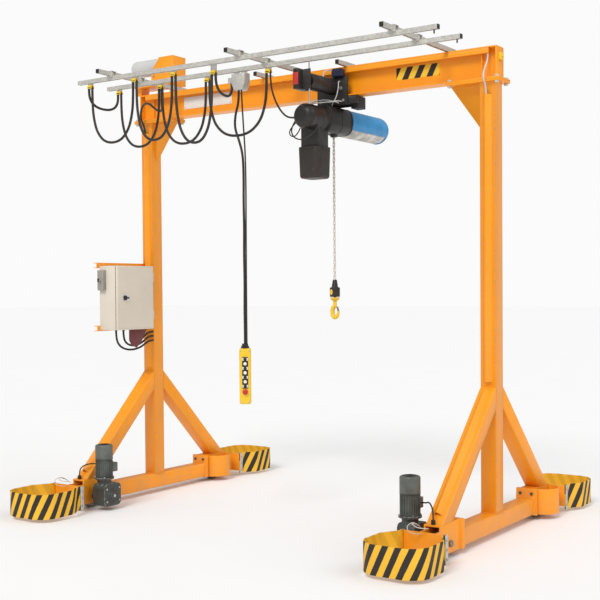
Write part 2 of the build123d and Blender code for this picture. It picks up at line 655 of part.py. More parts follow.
# Switch cabinet beside the left column, on two channels, with its door to +X
CABINET_Y = (-600, -170)
CABINET_Z = (1420, 1945)
CABINET_OVERHANG = 40
CABINET_DEPTH = 175
CABINET_BACK = -PORTAL_X - CABINET_OVERHANG
CABINET_FRONT = CABINET_BACK + CABINET_DEPTH
CABINET_WALL = 4
DOOR_THICK = 20
HINGE_RADIUS = 6
HINGE_GAP = 12
HINGE_Z = (1500, 1820)
KNUCKLE = 36
LEAF_REACH = 40
LOCK_RADIUS = 11
LOCK_HEIGHT = 7
LOCK_INSET = 96
CHANNEL_DEPTH = 40
CHANNEL_HEIGHT = 44
CHANNEL_WALL = 5
CHANNEL_NEAR_Y = -630
CHANNEL_Z = (1411, 1928)
ISOLATOR_INSET = 8
ISOLATOR_WIDTH = 66
ISOLATOR_X = (CABINET_BACK + ISOLATOR_INSET, CABINET_BACK + ISOLATOR_INSET + ISOLATOR_WIDTH)
ISOLATOR_Z = (1745, 1910)
ISOLATOR_DEPTH = 34
KNOB_RADIUS = 16
KNOB_HEIGHT = 18
DOOR_X = (CABINET_FRONT + RUN_GAP, CABINET_FRONT + RUN_GAP + DOOR_THICK)
HINGE_X = DOOR_X[0] + HINGE_RADIUS + PIN_GAP
HINGE_Y = CABINET_Y[1] + HINGE_GAP

with BuildPart() as cabinet_box:
    block((CABINET_BACK, CABINET_FRONT), CABINET_Y, CABINET_Z)
    inside_x = (CABINET_BACK + CABINET_WALL, CABINET_FRONT + CUT_OVERRUN)
    inside_y = (CABINET_Y[0] + CABINET_WALL, CABINET_Y[1] - CABINET_WALL)
    inside_z = (CABINET_Z[0] + CABINET_WALL, CABINET_Z[1] - CABINET_WALL)
    block(inside_x, inside_y, inside_z, Mode.SUBTRACT)
    for z in HINGE_Z:
        block((HINGE_X - LEAF_REACH, HINGE_X), (CABINET_Y[1], HINGE_Y - PIN_GAP), (z, z + KNUCKLE))
        rod((HINGE_X, HINGE_Y, z), (0, 0, 1), HINGE_RADIUS, KNUCKLE)
finish(cabinet_box.part, "cabinet_box")

with BuildPart() as cabinet_door:
    block(DOOR_X, CABINET_Y, CABINET_Z)
    for z in HINGE_Z:
        knuckle_z = (z + KNUCKLE + PIN_GAP, z + 2 * KNUCKLE + PIN_GAP)
        block(about(HINGE_X, HINGE_RADIUS), (CABINET_Y[1], HINGE_Y), knuckle_z)
        rod((HINGE_X, HINGE_Y, knuckle_z[0]), (0, 0, 1), HINGE_RADIUS, KNUCKLE)
    lock = (DOOR_X[1], CABINET_Y[0] + LOCK_INSET, sum(CABINET_Z) / 2)
    rod(lock, (1, 0, 0), LOCK_RADIUS, LOCK_HEIGHT)
finish(cabinet_door.part, "cabinet_door")

with BuildPart() as mains_isolator:
    isolator_y = (CABINET_Y[0] - ISOLATOR_DEPTH, CABINET_Y[0])
    block(ISOLATOR_X, isolator_y, ISOLATOR_Z)
    knob = (sum(ISOLATOR_X) / 2, isolator_y[0], sum(ISOLATOR_Z) / 2)
    rod(knob, (0, -1, 0), KNOB_RADIUS, KNOB_HEIGHT)
finish(mains_isolator.part, "mains_isolator")

# Dark flap that hangs under the cabinet, in front of its cables
FLAP_X = 136  # from the cabinet's back
FLAP_THICK = 6
FLAP = ((-405, 1420), (-405, 1330), (-380, 1290), (-320, 1265), (-262, 1310), (-190, 1420))

with BuildPart() as cabinet_flap:
    plate_x(FLAP, CABINET_BACK + FLAP_X, CABINET_BACK + FLAP_X + FLAP_THICK)
finish(cabinet_flap.part, "cabinet_flap")

with BuildPart() as cabinet_channels:
    for z in CHANNEL_Z:
        channel_x = (CABINET_BACK - CHANNEL_DEPTH, CABINET_BACK)
        block(channel_x, (CHANNEL_NEAR_Y, -HALF_TUBE), (z, z + CHANNEL_HEIGHT))
        hollow_x = (channel_x[0] - CUT_OVERRUN, CABINET_BACK - CHANNEL_WALL)
        hollow_y = (CHANNEL_NEAR_Y - CUT_OVERRUN, -HALF_TUBE + CUT_OVERRUN)
        block(hollow_x, hollow_y, (z + CHANNEL_WALL, z + CHANNEL_HEIGHT - CHANNEL_WALL), Mode.SUBTRACT)
finish(cabinet_channels.part, "cabinet_channels")

# Reel bracket on packers on the beam's left end, with the drum on its left
PACKER_HEIGHT = 58
PACKER_Z = (BEAM_TOP, BEAM_TOP + PACKER_HEIGHT)
PACKER_WIDTH = 44
PACKER_HALF_Y = 50
PAD_OVERHANG = 43
PAD_LENGTH = 408
PAD_X = (-SPAN / 2 - PAD_OVERHANG, -SPAN / 2 - PAD_OVERHANG + PAD_LENGTH)
PAD_Y = (-95, 105)
PAD_THICK = 12
BRACKET_WIDTH = 244
BRACKET_X = (PAD_X[1] - BRACKET_WIDTH, PAD_X[1])
BRACKET_Y = (-60, 105)
BRACKET_WALL = 8
BRACKET_HEIGHT = 233
CORNER_WIDE = 95  # the corner that is cut off at the top left
CORNER_HIGH = 110
DRUM_INSET = 85
DRUM_LENGTH = 347
DRUM_RADIUS = 70
DRUM_ROUND = 40
DRUM_Y = 25
DRUM_DROP = 60
PAD_TOP = PACKER_Z[1] + PAD_THICK
BRACKET_TOP = PAD_TOP + BRACKET_HEIGHT
DRUM_FACE = BRACKET_X[0] + DRUM_INSET
DRUM_Z = BRACKET_TOP - DRUM_DROP

with BuildPart() as reel_bracket:
    for x in PAD_X:
        inward = 1 if x == PAD_X[0] else -1
        block((x, x + inward * PACKER_WIDTH), about(0, PACKER_HALF_Y), PACKER_Z)
    block(PAD_X, PAD_Y, (PACKER_Z[1], PAD_TOP))
    front = (
        (BRACKET_X[0], PAD_TOP),
        (BRACKET_X[0], BRACKET_TOP - CORNER_HIGH),
        (BRACKET_X[0] + CORNER_WIDE, BRACKET_TOP),
        (BRACKET_X[1], BRACKET_TOP),
        (BRACKET_X[1], PAD_TOP),
    )
    plate_y(front, BRACKET_Y[0], BRACKET_Y[0] + BRACKET_WALL)
    block((BRACKET_X[1] - BRACKET_WALL, BRACKET_X[1]), BRACKET_Y, (PAD_TOP, BRACKET_TOP))
    block((DRUM_FACE, DRUM_FACE + BRACKET_WALL), BRACKET_Y, (PAD_TOP, BRACKET_TOP))
finish(reel_bracket.part, "reel_bracket")

with BuildPart() as reel_drum:
    rod((DRUM_FACE, DRUM_Y, DRUM_Z), (-1, 0, 0), DRUM_RADIUS, DRUM_LENGTH)
    far_rim = reel_drum.edges().filter_by(GeomType.CIRCLE).sort_by(Axis.X)[0]
    fillet(far_rim, radius=DRUM_ROUND)
finish(reel_drum.part, "reel_drum")

# Bare pale plate on the beam's web
PLATE_SETBACK = 439  # from the beam's left end
PLATE_LENGTH = 507
PLATE_DROP = 56  # below the beam's top
PLATE_HEIGHT = 98
PLATE_X = (PLATE_SETBACK - SPAN / 2, PLATE_SETBACK - SPAN / 2 + PLATE_LENGTH)
PLATE_Z = (BEAM_TOP - PLATE_DROP - PLATE_HEIGHT, BEAM_TOP - PLATE_DROP)
PLATE_THICK = 2

with BuildPart() as beam_plate:
    block(PLATE_X, (-WEB / 2 - PLATE_THICK, -WEB / 2), PLATE_Z)
finish(beam_plate.part, "beam_plate")

# Hoist trolley on the bottom flange: side plates with cross ties, wheels, drive, tow arm
TROLLEY_X = 322
TROLLEY_HALF = 135
TROLLEY_PLATE = 12
TROLLEY_INNER = BEAM_WIDTH / 2 + 8
TROLLEY_DROP = 62
TROLLEY_RISE = 144
TROLLEY_Z = (BEAM_BOTTOM - TROLLEY_DROP, BEAM_BOTTOM + TROLLEY_RISE)
TIE_RADIUS = 12
TIE_DROP = 34
TIE_Z = BEAM_BOTTOM - TIE_DROP
TIE_OFFSET = 100
CHAIN_X = 282
YOKE_HALF = 30
YOKE_DROP = 52
YOKE_THICK = 28
YOKE_Z = (BEAM_BOTTOM - YOKE_DROP, BEAM_BOTTOM - YOKE_DROP + YOKE_THICK)
FLANGE_WHEEL_RADIUS = 46
FLANGE_WHEEL_INNER = 26
FLANGE_WHEEL_X = 78
ROLL_GAP = 1
DRIVE_RADIUS = 58
DRIVE_RISE = 70
DRIVE_Z = BEAM_BOTTOM + DRIVE_RISE
DRIVE_END_Y = -420
DRIVE_BOX_X = (296, 342)
DRIVE_BOX_Y = (-560, -420)
DRIVE_COVER_THICK = 5
DRIVE_BOX_HALF = 73
DRIVE_COVER_HALF = 43
DRIVE_BOX_Z = about(DRIVE_Z - DRIVE_COVER_THICK, DRIVE_BOX_HALF)
DRIVE_COVER_Z = about(DRIVE_Z - DRIVE_COVER_THICK, DRIVE_COVER_HALF)
CAP_X = (335, 428)
CAP_HEIGHT = 60
CAP_TOP = TROLLEY_Z[1] + CAP_HEIGHT
CAP_DEPTH = 44
CAP_ROUND = 20
TOW_X = 394
TOW_PLATE = 12
TOW_RADIUS = 5
TOW_TOP = RAIL_Z - RUN_GAP
TOW_DROP = 112
TOW_LOW = BEAM_BOTTOM - TOW_DROP
SWITCH_REACH = 70
SWITCH_DROP = 6
SWITCH_HEIGHT = 90
SWITCH_Z = (BEAM_BOTTOM - SWITCH_DROP - SWITCH_HEIGHT, BEAM_BOTTOM - SWITCH_DROP)
SWITCH_HALF_Y = 36

with BuildPart() as trolley_frame:
    trolley_x = about(TROLLEY_X, TROLLEY_HALF)
    for side in ENDS:
        plate_y_range = (side * TROLLEY_INNER, side * (TROLLEY_INNER + TROLLEY_PLATE))
        block(trolley_x, plate_y_range, TROLLEY_Z)
    for side in ENDS:
        tie = (TROLLEY_X + side * TIE_OFFSET, -TROLLEY_INNER, TIE_Z)
        rod(tie, (0, 1, 0), TIE_RADIUS, 2 * TROLLEY_INNER)
    block(about(CHAIN_X, YOKE_HALF), about(0, TROLLEY_INNER), YOKE_Z)
    switch_x = (trolley_x[1], trolley_x[1] + SWITCH_REACH)
    arm_y = (-TROLLEY_INNER, -TROLLEY_INNER + SWITCH_HALF_Y)
    block((TROLLEY_X, switch_x[1]), arm_y, (TROLLEY_Z[0], SWITCH_Z[1]))
finish(trolley_frame.part, "trolley_frame")

with BuildPart() as trolley_wheels:
    wheel_z = BEAM_BOTTOM + FLANGE_OF_BEAM + ROLL_GAP + FLANGE_WHEEL_RADIUS
    for side in ENDS:
        for along in ENDS:
            hub = (TROLLEY_X + along * FLANGE_WHEEL_X, side * FLANGE_WHEEL_INNER, wheel_z)
            rod(hub, (0, side, 0), FLANGE_WHEEL_RADIUS, TROLLEY_INNER - FLANGE_WHEEL_INNER)
finish(trolley_wheels.part, "trolley_wheels")

with BuildPart() as limit_switch:
    block(switch_x, (-TROLLEY_INNER + SWITCH_HALF_Y, TROLLEY_INNER), SWITCH_Z)
finish(limit_switch.part, "limit_switch")

with BuildPart() as trolley_drive:
    start_y = -TROLLEY_INNER - TROLLEY_PLATE
    rod((TROLLEY_X, start_y, DRIVE_Z), (0, -1, 0), DRIVE_RADIUS, start_y - DRIVE_END_Y)
    block(DRIVE_BOX_X, DRIVE_BOX_Y, DRIVE_BOX_Z)
    tow_y = about(FAR_RAIL_Y, TOW_PLATE / 2)
    block((DRIVE_BOX_X[1], TOW_X + TOW_PLATE), tow_y, DRIVE_BOX_Z)
finish(trolley_drive.part, "trolley_drive")

with BuildPart() as drive_cover:
    cover_y = (DRIVE_BOX_Y[0] - DRIVE_COVER_THICK, DRIVE_BOX_Y[0])
    block(DRIVE_BOX_X, cover_y, DRIVE_COVER_Z)
finish(drive_cover.part, "drive_cover")

with BuildPart() as drive_cap:
    block(CAP_X, (-TROLLEY_INNER - CAP_DEPTH, -TROLLEY_INNER), (TROLLEY_Z[1], CAP_TOP))
    fillet(drive_cap.edges().filter_by(Axis.Y).group_by(Axis.Z)[-1], radius=CAP_ROUND)
finish(drive_cap.part, "drive_cap")

with BuildPart() as tow_rods:
    rod((TOW_X, FAR_RAIL_Y, DRIVE_BOX_Z[1]), (0, 0, 1), TOW_RADIUS, TOW_TOP - DRIVE_BOX_Z[1])
    rod((TOW_X, FAR_RAIL_Y, DRIVE_BOX_Z[0]), (0, 0, -1), TOW_RADIUS, DRIVE_BOX_Z[0] - TOW_LOW)
finish(tow_rods.part, "tow_rods")

# Chain hoist across the beam: black housing, silver motor, blue cover, chain bag
HOIST_X = 285
HOIST_DROP = 174  # from the beam's underside to the hoist's axis
HOIST_Z = BEAM_BOTTOM - HOIST_DROP
HOUSING_HALF = 100
HOUSING_ROUND = 62
HOUSING_Y = (-190, 115)
BULGE_Y = -445
BULGE_RADIUS = 92
BULGE_DROP = 4
BULGE_Z = HOIST_Z - BULGE_DROP
BULGE_ROUND = 58
FUNNEL_X = (176, 330)
FUNNEL_Y = (-290, -150)
MOTOR_BODY_RADIUS = 98
MOTOR_END_Y = 640
COVER_WALL = 8
COVER_GAP = 1
COVER_END_Y = 705
COVER_ROUND = 78
COVER_DROP = 56
COVER_LOW = HOIST_Z - COVER_DROP  # the cover's lower edges
BAG_X = (152, 352)
BAG_Y = (-320, -122)
BAG_DROP = 216
BAG_HEIGHT = 234
BAG_Z = (HOIST_Z - BAG_DROP - BAG_HEIGHT, HOIST_Z - BAG_DROP)
BAG_ROUND = 52
BAG_SHRINK_SHARE = 0.94
LUG_HALF = 28
SOCKET_REACH = 12
SOCKET_HALF = 18
SOCKET_Y = -370

with BuildPart() as hoist_housing:
    with BuildSketch(Plane(origin=(0, HOUSING_Y[1], 0), x_dir=(1, 0, 0), z_dir=(0, -1, 0))) as barrel:
        with Locations((HOIST_X, HOIST_Z)):
            RectangleRounded(2 * HOUSING_HALF, 2 * HOUSING_HALF, HOUSING_ROUND)
    extrude(amount=HOUSING_Y[1] - HOUSING_Y[0])
    rod((HOIST_X, HOUSING_Y[0], BULGE_Z), (0, -1, 0), BULGE_RADIUS, HOUSING_Y[0] - BULGE_Y)
    near_rim = hoist_housing.edges().filter_by(GeomType.CIRCLE).sort_by(Axis.Y)[0]
    fillet(near_rim, radius=BULGE_ROUND)
    block(about(CHAIN_X, LUG_HALF), about(0, LUG_HALF), (HOIST_Z, YOKE_Z[0]))
    block(FUNNEL_X, FUNNEL_Y, (BAG_Z[1], BULGE_Z))
    socket_x = (HOIST_X - BULGE_RADIUS - SOCKET_REACH, HOIST_X)
    block(socket_x, about(SOCKET_Y, SOCKET_HALF), about(BULGE_Z, SOCKET_HALF))
finish(hoist_housing.part, "hoist_housing")

with BuildPart() as hoist_motor:
    rod((HOIST_X, HOUSING_Y[1], HOIST_Z), (0, 1, 0), MOTOR_BODY_RADIUS, MOTOR_END_Y - HOUSING_Y[1])
finish(hoist_motor.part, "hoist_motor")

with BuildPart() as hoist_cover:
    cover_radius = MOTOR_BODY_RADIUS + COVER_GAP + COVER_WALL
    rod((HOIST_X, HOUSING_Y[1], HOIST_Z), (0, 1, 0), cover_radius, COVER_END_Y - HOUSING_Y[1])
    far_rim = hoist_cover.edges().filter_by(GeomType.CIRCLE).sort_by(Axis.Y)[-1]
    fillet(far_rim, radius=COVER_ROUND)
    hollow = MOTOR_BODY_RADIUS + COVER_GAP
    hollow_length = MOTOR_END_Y - HOUSING_Y[1]
    rod((HOIST_X, HOUSING_Y[1], HOIST_Z), (0, 1, 0), hollow, hollow_length, Mode.SUBTRACT)
    under = (HOIST_Z - 2 * MOTOR_BODY_RADIUS, COVER_LOW)
    cut_y = (HOUSING_Y[1] - CUT_OVERRUN, MOTOR_END_Y)
    block(about(HOIST_X, 2 * MOTOR_BODY_RADIUS), cut_y, under, Mode.SUBTRACT)
finish(hoist_cover.part, "hoist_cover")

with BuildPart() as chain_bag:
    bag_middle = (sum(BAG_X) / 2, sum(BAG_Y) / 2)
    bag_width = BAG_X[1] - BAG_X[0]
    bag_depth = BAG_Y[1] - BAG_Y[0]
    with BuildSketch(Plane.XY.offset(BAG_Z[0])) as floor_outline:
        with Locations(bag_middle):
            RectangleRounded(bag_width * BAG_SHRINK_SHARE, bag_depth * BAG_SHRINK_SHARE, BAG_ROUND)
    with BuildSketch(Plane.XY.offset(BAG_Z[1])) as rim_outline:
        with Locations(bag_middle):
            RectangleRounded(bag_width, bag_depth, BAG_ROUND)
    loft()
finish(chain_bag.part, "chain_bag")

# Load chain, hook sleeve, hook and latch
SLEEVE_RADIUS = 39
SLEEVE_Z = (1681, 1754)
NOSE_RADII = (25, 16)
NOSE_TOP = 1813
STEM_RADIUS = 12
STEM_GAP = 0.4
STEM_BORE = 64
STEM_LENGTH = 84
CHAIN_HALF = 11
CAP_RADII = (13, 38)
HOOK_CAP_Z = (1646, 1677)
BOWL_Z = 1566
BOWL_HALF_X = 40
BOWL_HALF_Z = 57
EYE_SHIFT = 9
EYE_HALF_X = 15
EYE_HALF_Z = 27
HOOK_THICK = 26
SHANK_HALF = 15
MOUTH_Z = (6, 40)  # above the middle of the bowl
LATCH_THICK = 11
LATCH_WIDTH = 12
HOUSING_BOTTOM = HOIST_Z - HOUSING_HALF


def cone(x, z, radii):
    """Upright round taper between two heights."""
    sections = []
    for level, radius in zip(z, radii):
        with BuildSketch(Plane(origin=(x, 0, level))) as section:
            Circle(radius)
        sections.append(section.sketch)
    loft(sections=sections)


with BuildPart() as load_chain:
    block(about(CHAIN_X, CHAIN_HALF), about(0, CHAIN_HALF), (NOSE_TOP, HOUSING_BOTTOM))
finish(load_chain.part, "load_chain")

with BuildPart() as hook_sleeve:
    rod((CHAIN_X, 0, SLEEVE_Z[0]), (0, 0, 1), SLEEVE_RADIUS, SLEEVE_Z[1] - SLEEVE_Z[0])
    cone(CHAIN_X, (SLEEVE_Z[1], NOSE_TOP), NOSE_RADII)
    mouth = (CHAIN_X, 0, SLEEVE_Z[0] - CUT_OVERRUN)
    rod(mouth, (0, 0, 1), STEM_RADIUS + STEM_GAP, STEM_BORE + CUT_OVERRUN, Mode.SUBTRACT)
finish(hook_sleeve.part, "hook_sleeve")

with BuildPart() as hook:
    rod((CHAIN_X, 0, HOOK_CAP_Z[0]), (0, 0, 1), STEM_RADIUS, STEM_LENGTH)
    cone(CHAIN_X, HOOK_CAP_Z, CAP_RADII)
    bowl = Plane(origin=(CHAIN_X, HOOK_THICK / 2, BOWL_Z), x_dir=(1, 0, 0), z_dir=(0, -1, 0))
    with BuildSketch(bowl) as bend:
        Ellipse(BOWL_HALF_X, BOWL_HALF_Z)
        with Locations((EYE_SHIFT, 0)):
            Ellipse(EYE_HALF_X, EYE_HALF_Z, mode=Mode.SUBTRACT)
        with Locations((BOWL_HALF_X, sum(MOUTH_Z) / 2)):
            Rectangle(2 * (BOWL_HALF_X - EYE_SHIFT), MOUTH_Z[1] - MOUTH_Z[0], mode=Mode.SUBTRACT)
    extrude(bend.sketch, amount=HOOK_THICK)
    shank_z = (BOWL_Z + MOUTH_Z[1], HOOK_CAP_Z[0])
    block(about(CHAIN_X, SHANK_HALF), about(0, HOOK_THICK / 2), shank_z)
finish(hook.part, "hook")

with BuildPart() as hook_latch:
    tip_x = CHAIN_X + EYE_SHIFT + EYE_HALF_X
    latch = (
        (tip_x + PIN_GAP, BOWL_Z + MOUTH_Z[0]),
        (tip_x + PIN_GAP + LATCH_THICK, BOWL_Z + MOUTH_Z[0]),
        (CHAIN_X + SHANK_HALF + LATCH_THICK, BOWL_Z + MOUTH_Z[1]),
        (CHAIN_X + SHANK_HALF, BOWL_Z + MOUTH_Z[1]),
    )
    plate_y(latch, -LATCH_WIDTH / 2, LATCH_WIDTH / 2)
finish(hook_latch.part, "hook_latch")

# Cables. Each route is a list of points; the tube turns each corner on a tangent arc.
LOOP_DIAMETER = 20
STRAND_DIAMETER = 14
PENDANT_DIAMETER = 18
CABINET_WIRE = 17
SUPPLY_DIAMETER = 18
WIRE_DIAMETER = 12
DRIVE_WIRE = 10
BEND_SHARE = 0.45
# A hanging loop as shares of its width and of its depth
LOOP_SHARES = (
    (0, 0),
    (0, 0.27),
    (0.03, 0.54),
    (0.12, 0.80),
    (0.33, 0.985),
    (0.67, 0.985),
    (0.88, 0.80),
    (0.97, 0.54),
    (1, 0.27),
    (1, 0),
)


def hanging(start, end, depth):
    """Route of a loop that hangs between two points."""
    route = []
    for across, down in LOOP_SHARES:
        x, y, z = (a + across * (b - a) for a, b in zip(start, end))
        route.append((x, y, z - down * depth))
    return route


def cable(name, route, diameter):
    """Tube along a route, joined to the piece that is being built."""
    points = [Vector(*point) for point in route]
    radii = []
    for before, corner, after in zip(points, points[1:], points[2:]):
        arriving = corner - before
        leaving = after - corner
        half_turn = radians(arriving.get_angle(leaving)) / 2
        radii.append(BEND_SHARE * min(arriving.length, leaving.length) / tan(half_turn))
    print(name, "smallest bend radius", round(min(radii)), "for diameter", diameter)
    with BuildLine() as line:
        FilletPolyline(*points, radius=radii)
    with BuildSketch(Plane(origin=points[0], z_dir=points[1] - points[0])) as section:
        Circle(diameter / 2)
    sweep(section.sketch, path=line.line)


def under_saddle(saddles, index, side, y):
    """Point on a saddle's flat underside where a loop leaves it."""
    x, z = saddles[index]
    return (x + side * CABLE_EXIT, y, z)


NEAR_LOOP_DEPTHS = (446, 463, 500)
FAR_LOOP_DEPTHS = (444, 457, 440)
LINK_DEPTH = 140
PLUG_LOOP_DEPTH = 120

with BuildPart() as near_loops:
    for index, depth in enumerate(NEAR_LOOP_DEPTHS):
        start = under_saddle(NEAR_SADDLES, index, 1, NEAR_RAIL_Y)
        end = under_saddle(NEAR_SADDLES, index + 1, -1, NEAR_RAIL_Y)
        cable("near loop", hanging(start, end, depth), LOOP_DIAMETER)
finish(near_loops.part, "near_loops")

with BuildPart() as far_loops:
    for index, depth in enumerate(FAR_LOOP_DEPTHS):
        start = under_saddle(FAR_SADDLES, index, 1, FAR_RAIL_Y)
        end = under_saddle(FAR_SADDLES, index + 1, -1, FAR_RAIL_Y)
        cable("far loop", hanging(start, end, depth), LOOP_DIAMETER)
finish(far_loops.part, "far_loops")

with BuildPart() as link_cables:
    start = under_saddle(NEAR_SADDLES, 0, -1, NEAR_RAIL_Y)
    end = under_saddle(FAR_SADDLES, 0, -1, FAR_RAIL_Y)
    cable("link cable", hanging(start, end, LINK_DEPTH), LOOP_DIAMETER)
    start = under_saddle(NEAR_SADDLES, -1, 1, NEAR_RAIL_Y)
    end = (PENDANT_X - PENDANT_TROLLEY_HALF - PLUG_REACH / 2, FAR_RAIL_Y, PLUG_Z[0])
    cable("plug cable", hanging(start, end, PLUG_LOOP_DEPTH), LOOP_DIAMETER)
finish(link_cables.part, "link_cables")

PENDANT_ROUTE = (
    (PENDANT_X, PENDANT_Y, PENDANT_TROLLEY_Z[0]),
    (PENDANT_X, PENDANT_Y, 3150),
    (-262, PENDANT_Y, 3060),
    (-270, PENDANT_Y, 2960),
    (-228, PENDANT_Y, 2860),
    (-194, PENDANT_Y, 2750),
    (-189, PENDANT_Y, 2580),
    (-192, PENDANT_Y, 2390),
    (-188, PENDANT_Y, 2200),
    (-192, PENDANT_Y, 2000),
    (-188, PENDANT_Y, 1800),
    (-192, PENDANT_Y, 1600),
    (PENDANT_BOX_X, PENDANT_Y, 1450),
    (PENDANT_BOX_X, PENDANT_Y, PENDANT_NECK_TOP),
)

with BuildPart() as pendant_cable:
    cable("pendant cable", PENDANT_ROUTE, PENDANT_DIAMETER)
finish(pendant_cable.part, "pendant_cable")

DUCT_CABLE_Y = -78
SUPPLY_ROUTE = (
    (-PORTAL_X, DUCT_CABLE_Y, DUCT_Z[1]),
    (-PORTAL_X, DUCT_CABLE_Y, 3125),
    (2 - PORTAL_X, -128, 3190),
    (29 - PORTAL_X, -160, 3260),
    (104 - PORTAL_X, -205, 3305),
    (-1360, -270, 3290),
    (-1230, -345, 3225),
    (-1130, -400, 3180),
    (-1062, -440, 3184),
    (FAR_SADDLES[1][0], FAR_RAIL_Y + 9, 3242),
    (FAR_SADDLES[1][0], FAR_RAIL_Y + 9, SADDLE_Z),
)

with BuildPart() as supply_cable:
    cable("supply cable", SUPPLY_ROUTE, SUPPLY_DIAMETER)
finish(supply_cable.part, "supply_cable")

HOIST_CABLE_ROUTE = (
    (FAR_SADDLES[3][0] + CABLE_EXIT, FAR_RAIL_Y, SADDLE_Z),
    (FAR_SADDLES[3][0] + CABLE_EXIT, FAR_RAIL_Y, 3250),
    (57, -462, 3155),
    (74, -420, 3080),
    (100, -388, 3034),
    (140, SOCKET_Y, BULGE_Z),
    (socket_x[0], SOCKET_Y, BULGE_Z),
)

with BuildPart() as hoist_cable:
    cable("hoist cable", HOIST_CABLE_ROUTE, STRAND_DIAMETER)
finish(hoist_cable.part, "hoist_cable")

DUCT_MIDDLE_Y = (BEAM_DUCT_DEPTH - BEAM_WIDTH) / 2
DUCT_LOW = BEAM_TOP - FLANGE_OF_BEAM - BEAM_DUCT_HEIGHT
DROP_ROUTE = (
    (PORTAL_X, DUCT_MIDDLE_Y, DUCT_LOW),
    (PORTAL_X, DUCT_MIDDLE_Y, 3335),
    (PORTAL_X, -72, 3285),
    (PORTAL_X, -112, 3240),
    (PORTAL_X, -128, 3192),
    (PORTAL_X, DUCT_CABLE_Y, 3127),
    (PORTAL_X, DUCT_CABLE_Y, DUCT_Z[1]),
)

with BuildPart() as drop_cable:
    cable("drop cable", DROP_ROUTE, WIRE_DIAMETER)
finish(drop_cable.part, "drop_cable")

GLAND_SHIFT = 120
GLAND_Y = -WHEEL_Y - GLAND_SHIFT
GLAND_RADIUS = 14
GLAND_HEIGHT = 30
PLUG_THICK = 20
# Offsets from the portal's middle towards the motor and from the axle, then Z
DRIVE_CABLE_ROUTE = (
    (0, -GLAND_SHIFT, BLOCK_TOP + GLAND_HEIGHT),
    (0, -GLAND_SHIFT, 312),
    (20, -98, 345),
    (58, -56, 360),
    (100, -5, 352),
    (128, 32, 337),
    (MOTOR_OFFSET - TERMINAL_HALF, 32, 337),
)

with BuildPart() as cable_glands:
    for portal in PORTALS:
        rod((portal, GLAND_Y, BLOCK_TOP), (0, 0, 1), GLAND_RADIUS, GLAND_HEIGHT)
        with BuildSketch(Plane.XY.offset(DUCT_Z[1] - PLUG_THICK)) as duct_plug:
            with BuildLine():
                Polyline(
                    (portal - DUCT_HALF + DUCT_WALL, -HALF_TUBE),
                    (portal, -HALF_TUBE - DUCT_RISE + DUCT_WALL),
                    (portal + DUCT_HALF - DUCT_WALL, -HALF_TUBE),
                    close=True,
                )
            make_face()
        extrude(duct_plug.sketch, amount=PLUG_THICK)
finish(cable_glands.part, "cable_glands")

with BuildPart() as drive_cables:
    for portal, side in zip(PORTALS, ENDS):
        route = [(portal - side * x, y - WHEEL_Y, z) for x, y, z in DRIVE_CABLE_ROUTE]
        cable("drive cable", route, DRIVE_WIRE)
finish(drive_cables.part, "drive_cables")

CABINET_CABLE_SHIFT = 48  # from the portal's middle to where the cables meet the column
CABINET_CABLE_X = CABINET_CABLE_SHIFT - PORTAL_X
CABINET_CABLE_ROUTES = (
    (
        (CABINET_CABLE_X, -420, CABINET_Z[0]),
        (CABINET_CABLE_X, -420, 1360),
        (CABINET_CABLE_X, -398, 1312),
        (CABINET_CABLE_X, -345, 1284),
        (CABINET_CABLE_X, -270, 1280),
        (CABINET_CABLE_X, -195, 1302),
        (CABINET_CABLE_X, -138, 1338),
        (CABINET_CABLE_X, -100, 1352),
        (CABINET_CABLE_X, -HALF_TUBE, 1352),
    ),
    (
        (CABINET_CABLE_X + 30, -350, CABINET_Z[0]),
        (CABINET_CABLE_X + 30, -350, 1372),
        (CABINET_CABLE_X + 28, -332, 1336),
        (CABINET_CABLE_X + 23, -290, 1316),
        (CABINET_CABLE_X + 15, -235, 1322),
        (CABINET_CABLE_X + 6, -180, 1350),
        (CABINET_CABLE_X, -135, 1378),
        (CABINET_CABLE_X, -100, 1388),
        (CABINET_CABLE_X, -HALF_TUBE, 1388),
    ),
    (
        (CABINET_CABLE_X - 25, -480, CABINET_Z[0]),
        (CABINET_CABLE_X - 25, -480, 1350),
        (CABINET_CABLE_X - 23, -452, 1290),
        (CABINET_CABLE_X - 19, -388, 1254),
        (CABINET_CABLE_X - 13, -300, 1244),
        (CABINET_CABLE_X - 7, -212, 1260),
        (CABINET_CABLE_X - 2, -145, 1296),
        (CABINET_CABLE_X, -104, 1314),
        (CABINET_CABLE_X, -HALF_TUBE, 1314),
    ),
)

with BuildPart() as cabinet_cables:
    for route in CABINET_CABLE_ROUTES:
        cable("cabinet cable", route, CABINET_WIRE)
finish(cabinet_cables.part, "cabinet_cables")
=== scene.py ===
"""Dressed model of a mobile electric gantry crane, laid out as an add-on and run as a script.

Metres, in the frame of the solids: X along the runway beam, Y along the base tubes, Z up.
"""

import json
from math import cos, pi, radians, sin

import bmesh
import bpy
from mathutils import Matrix, Vector


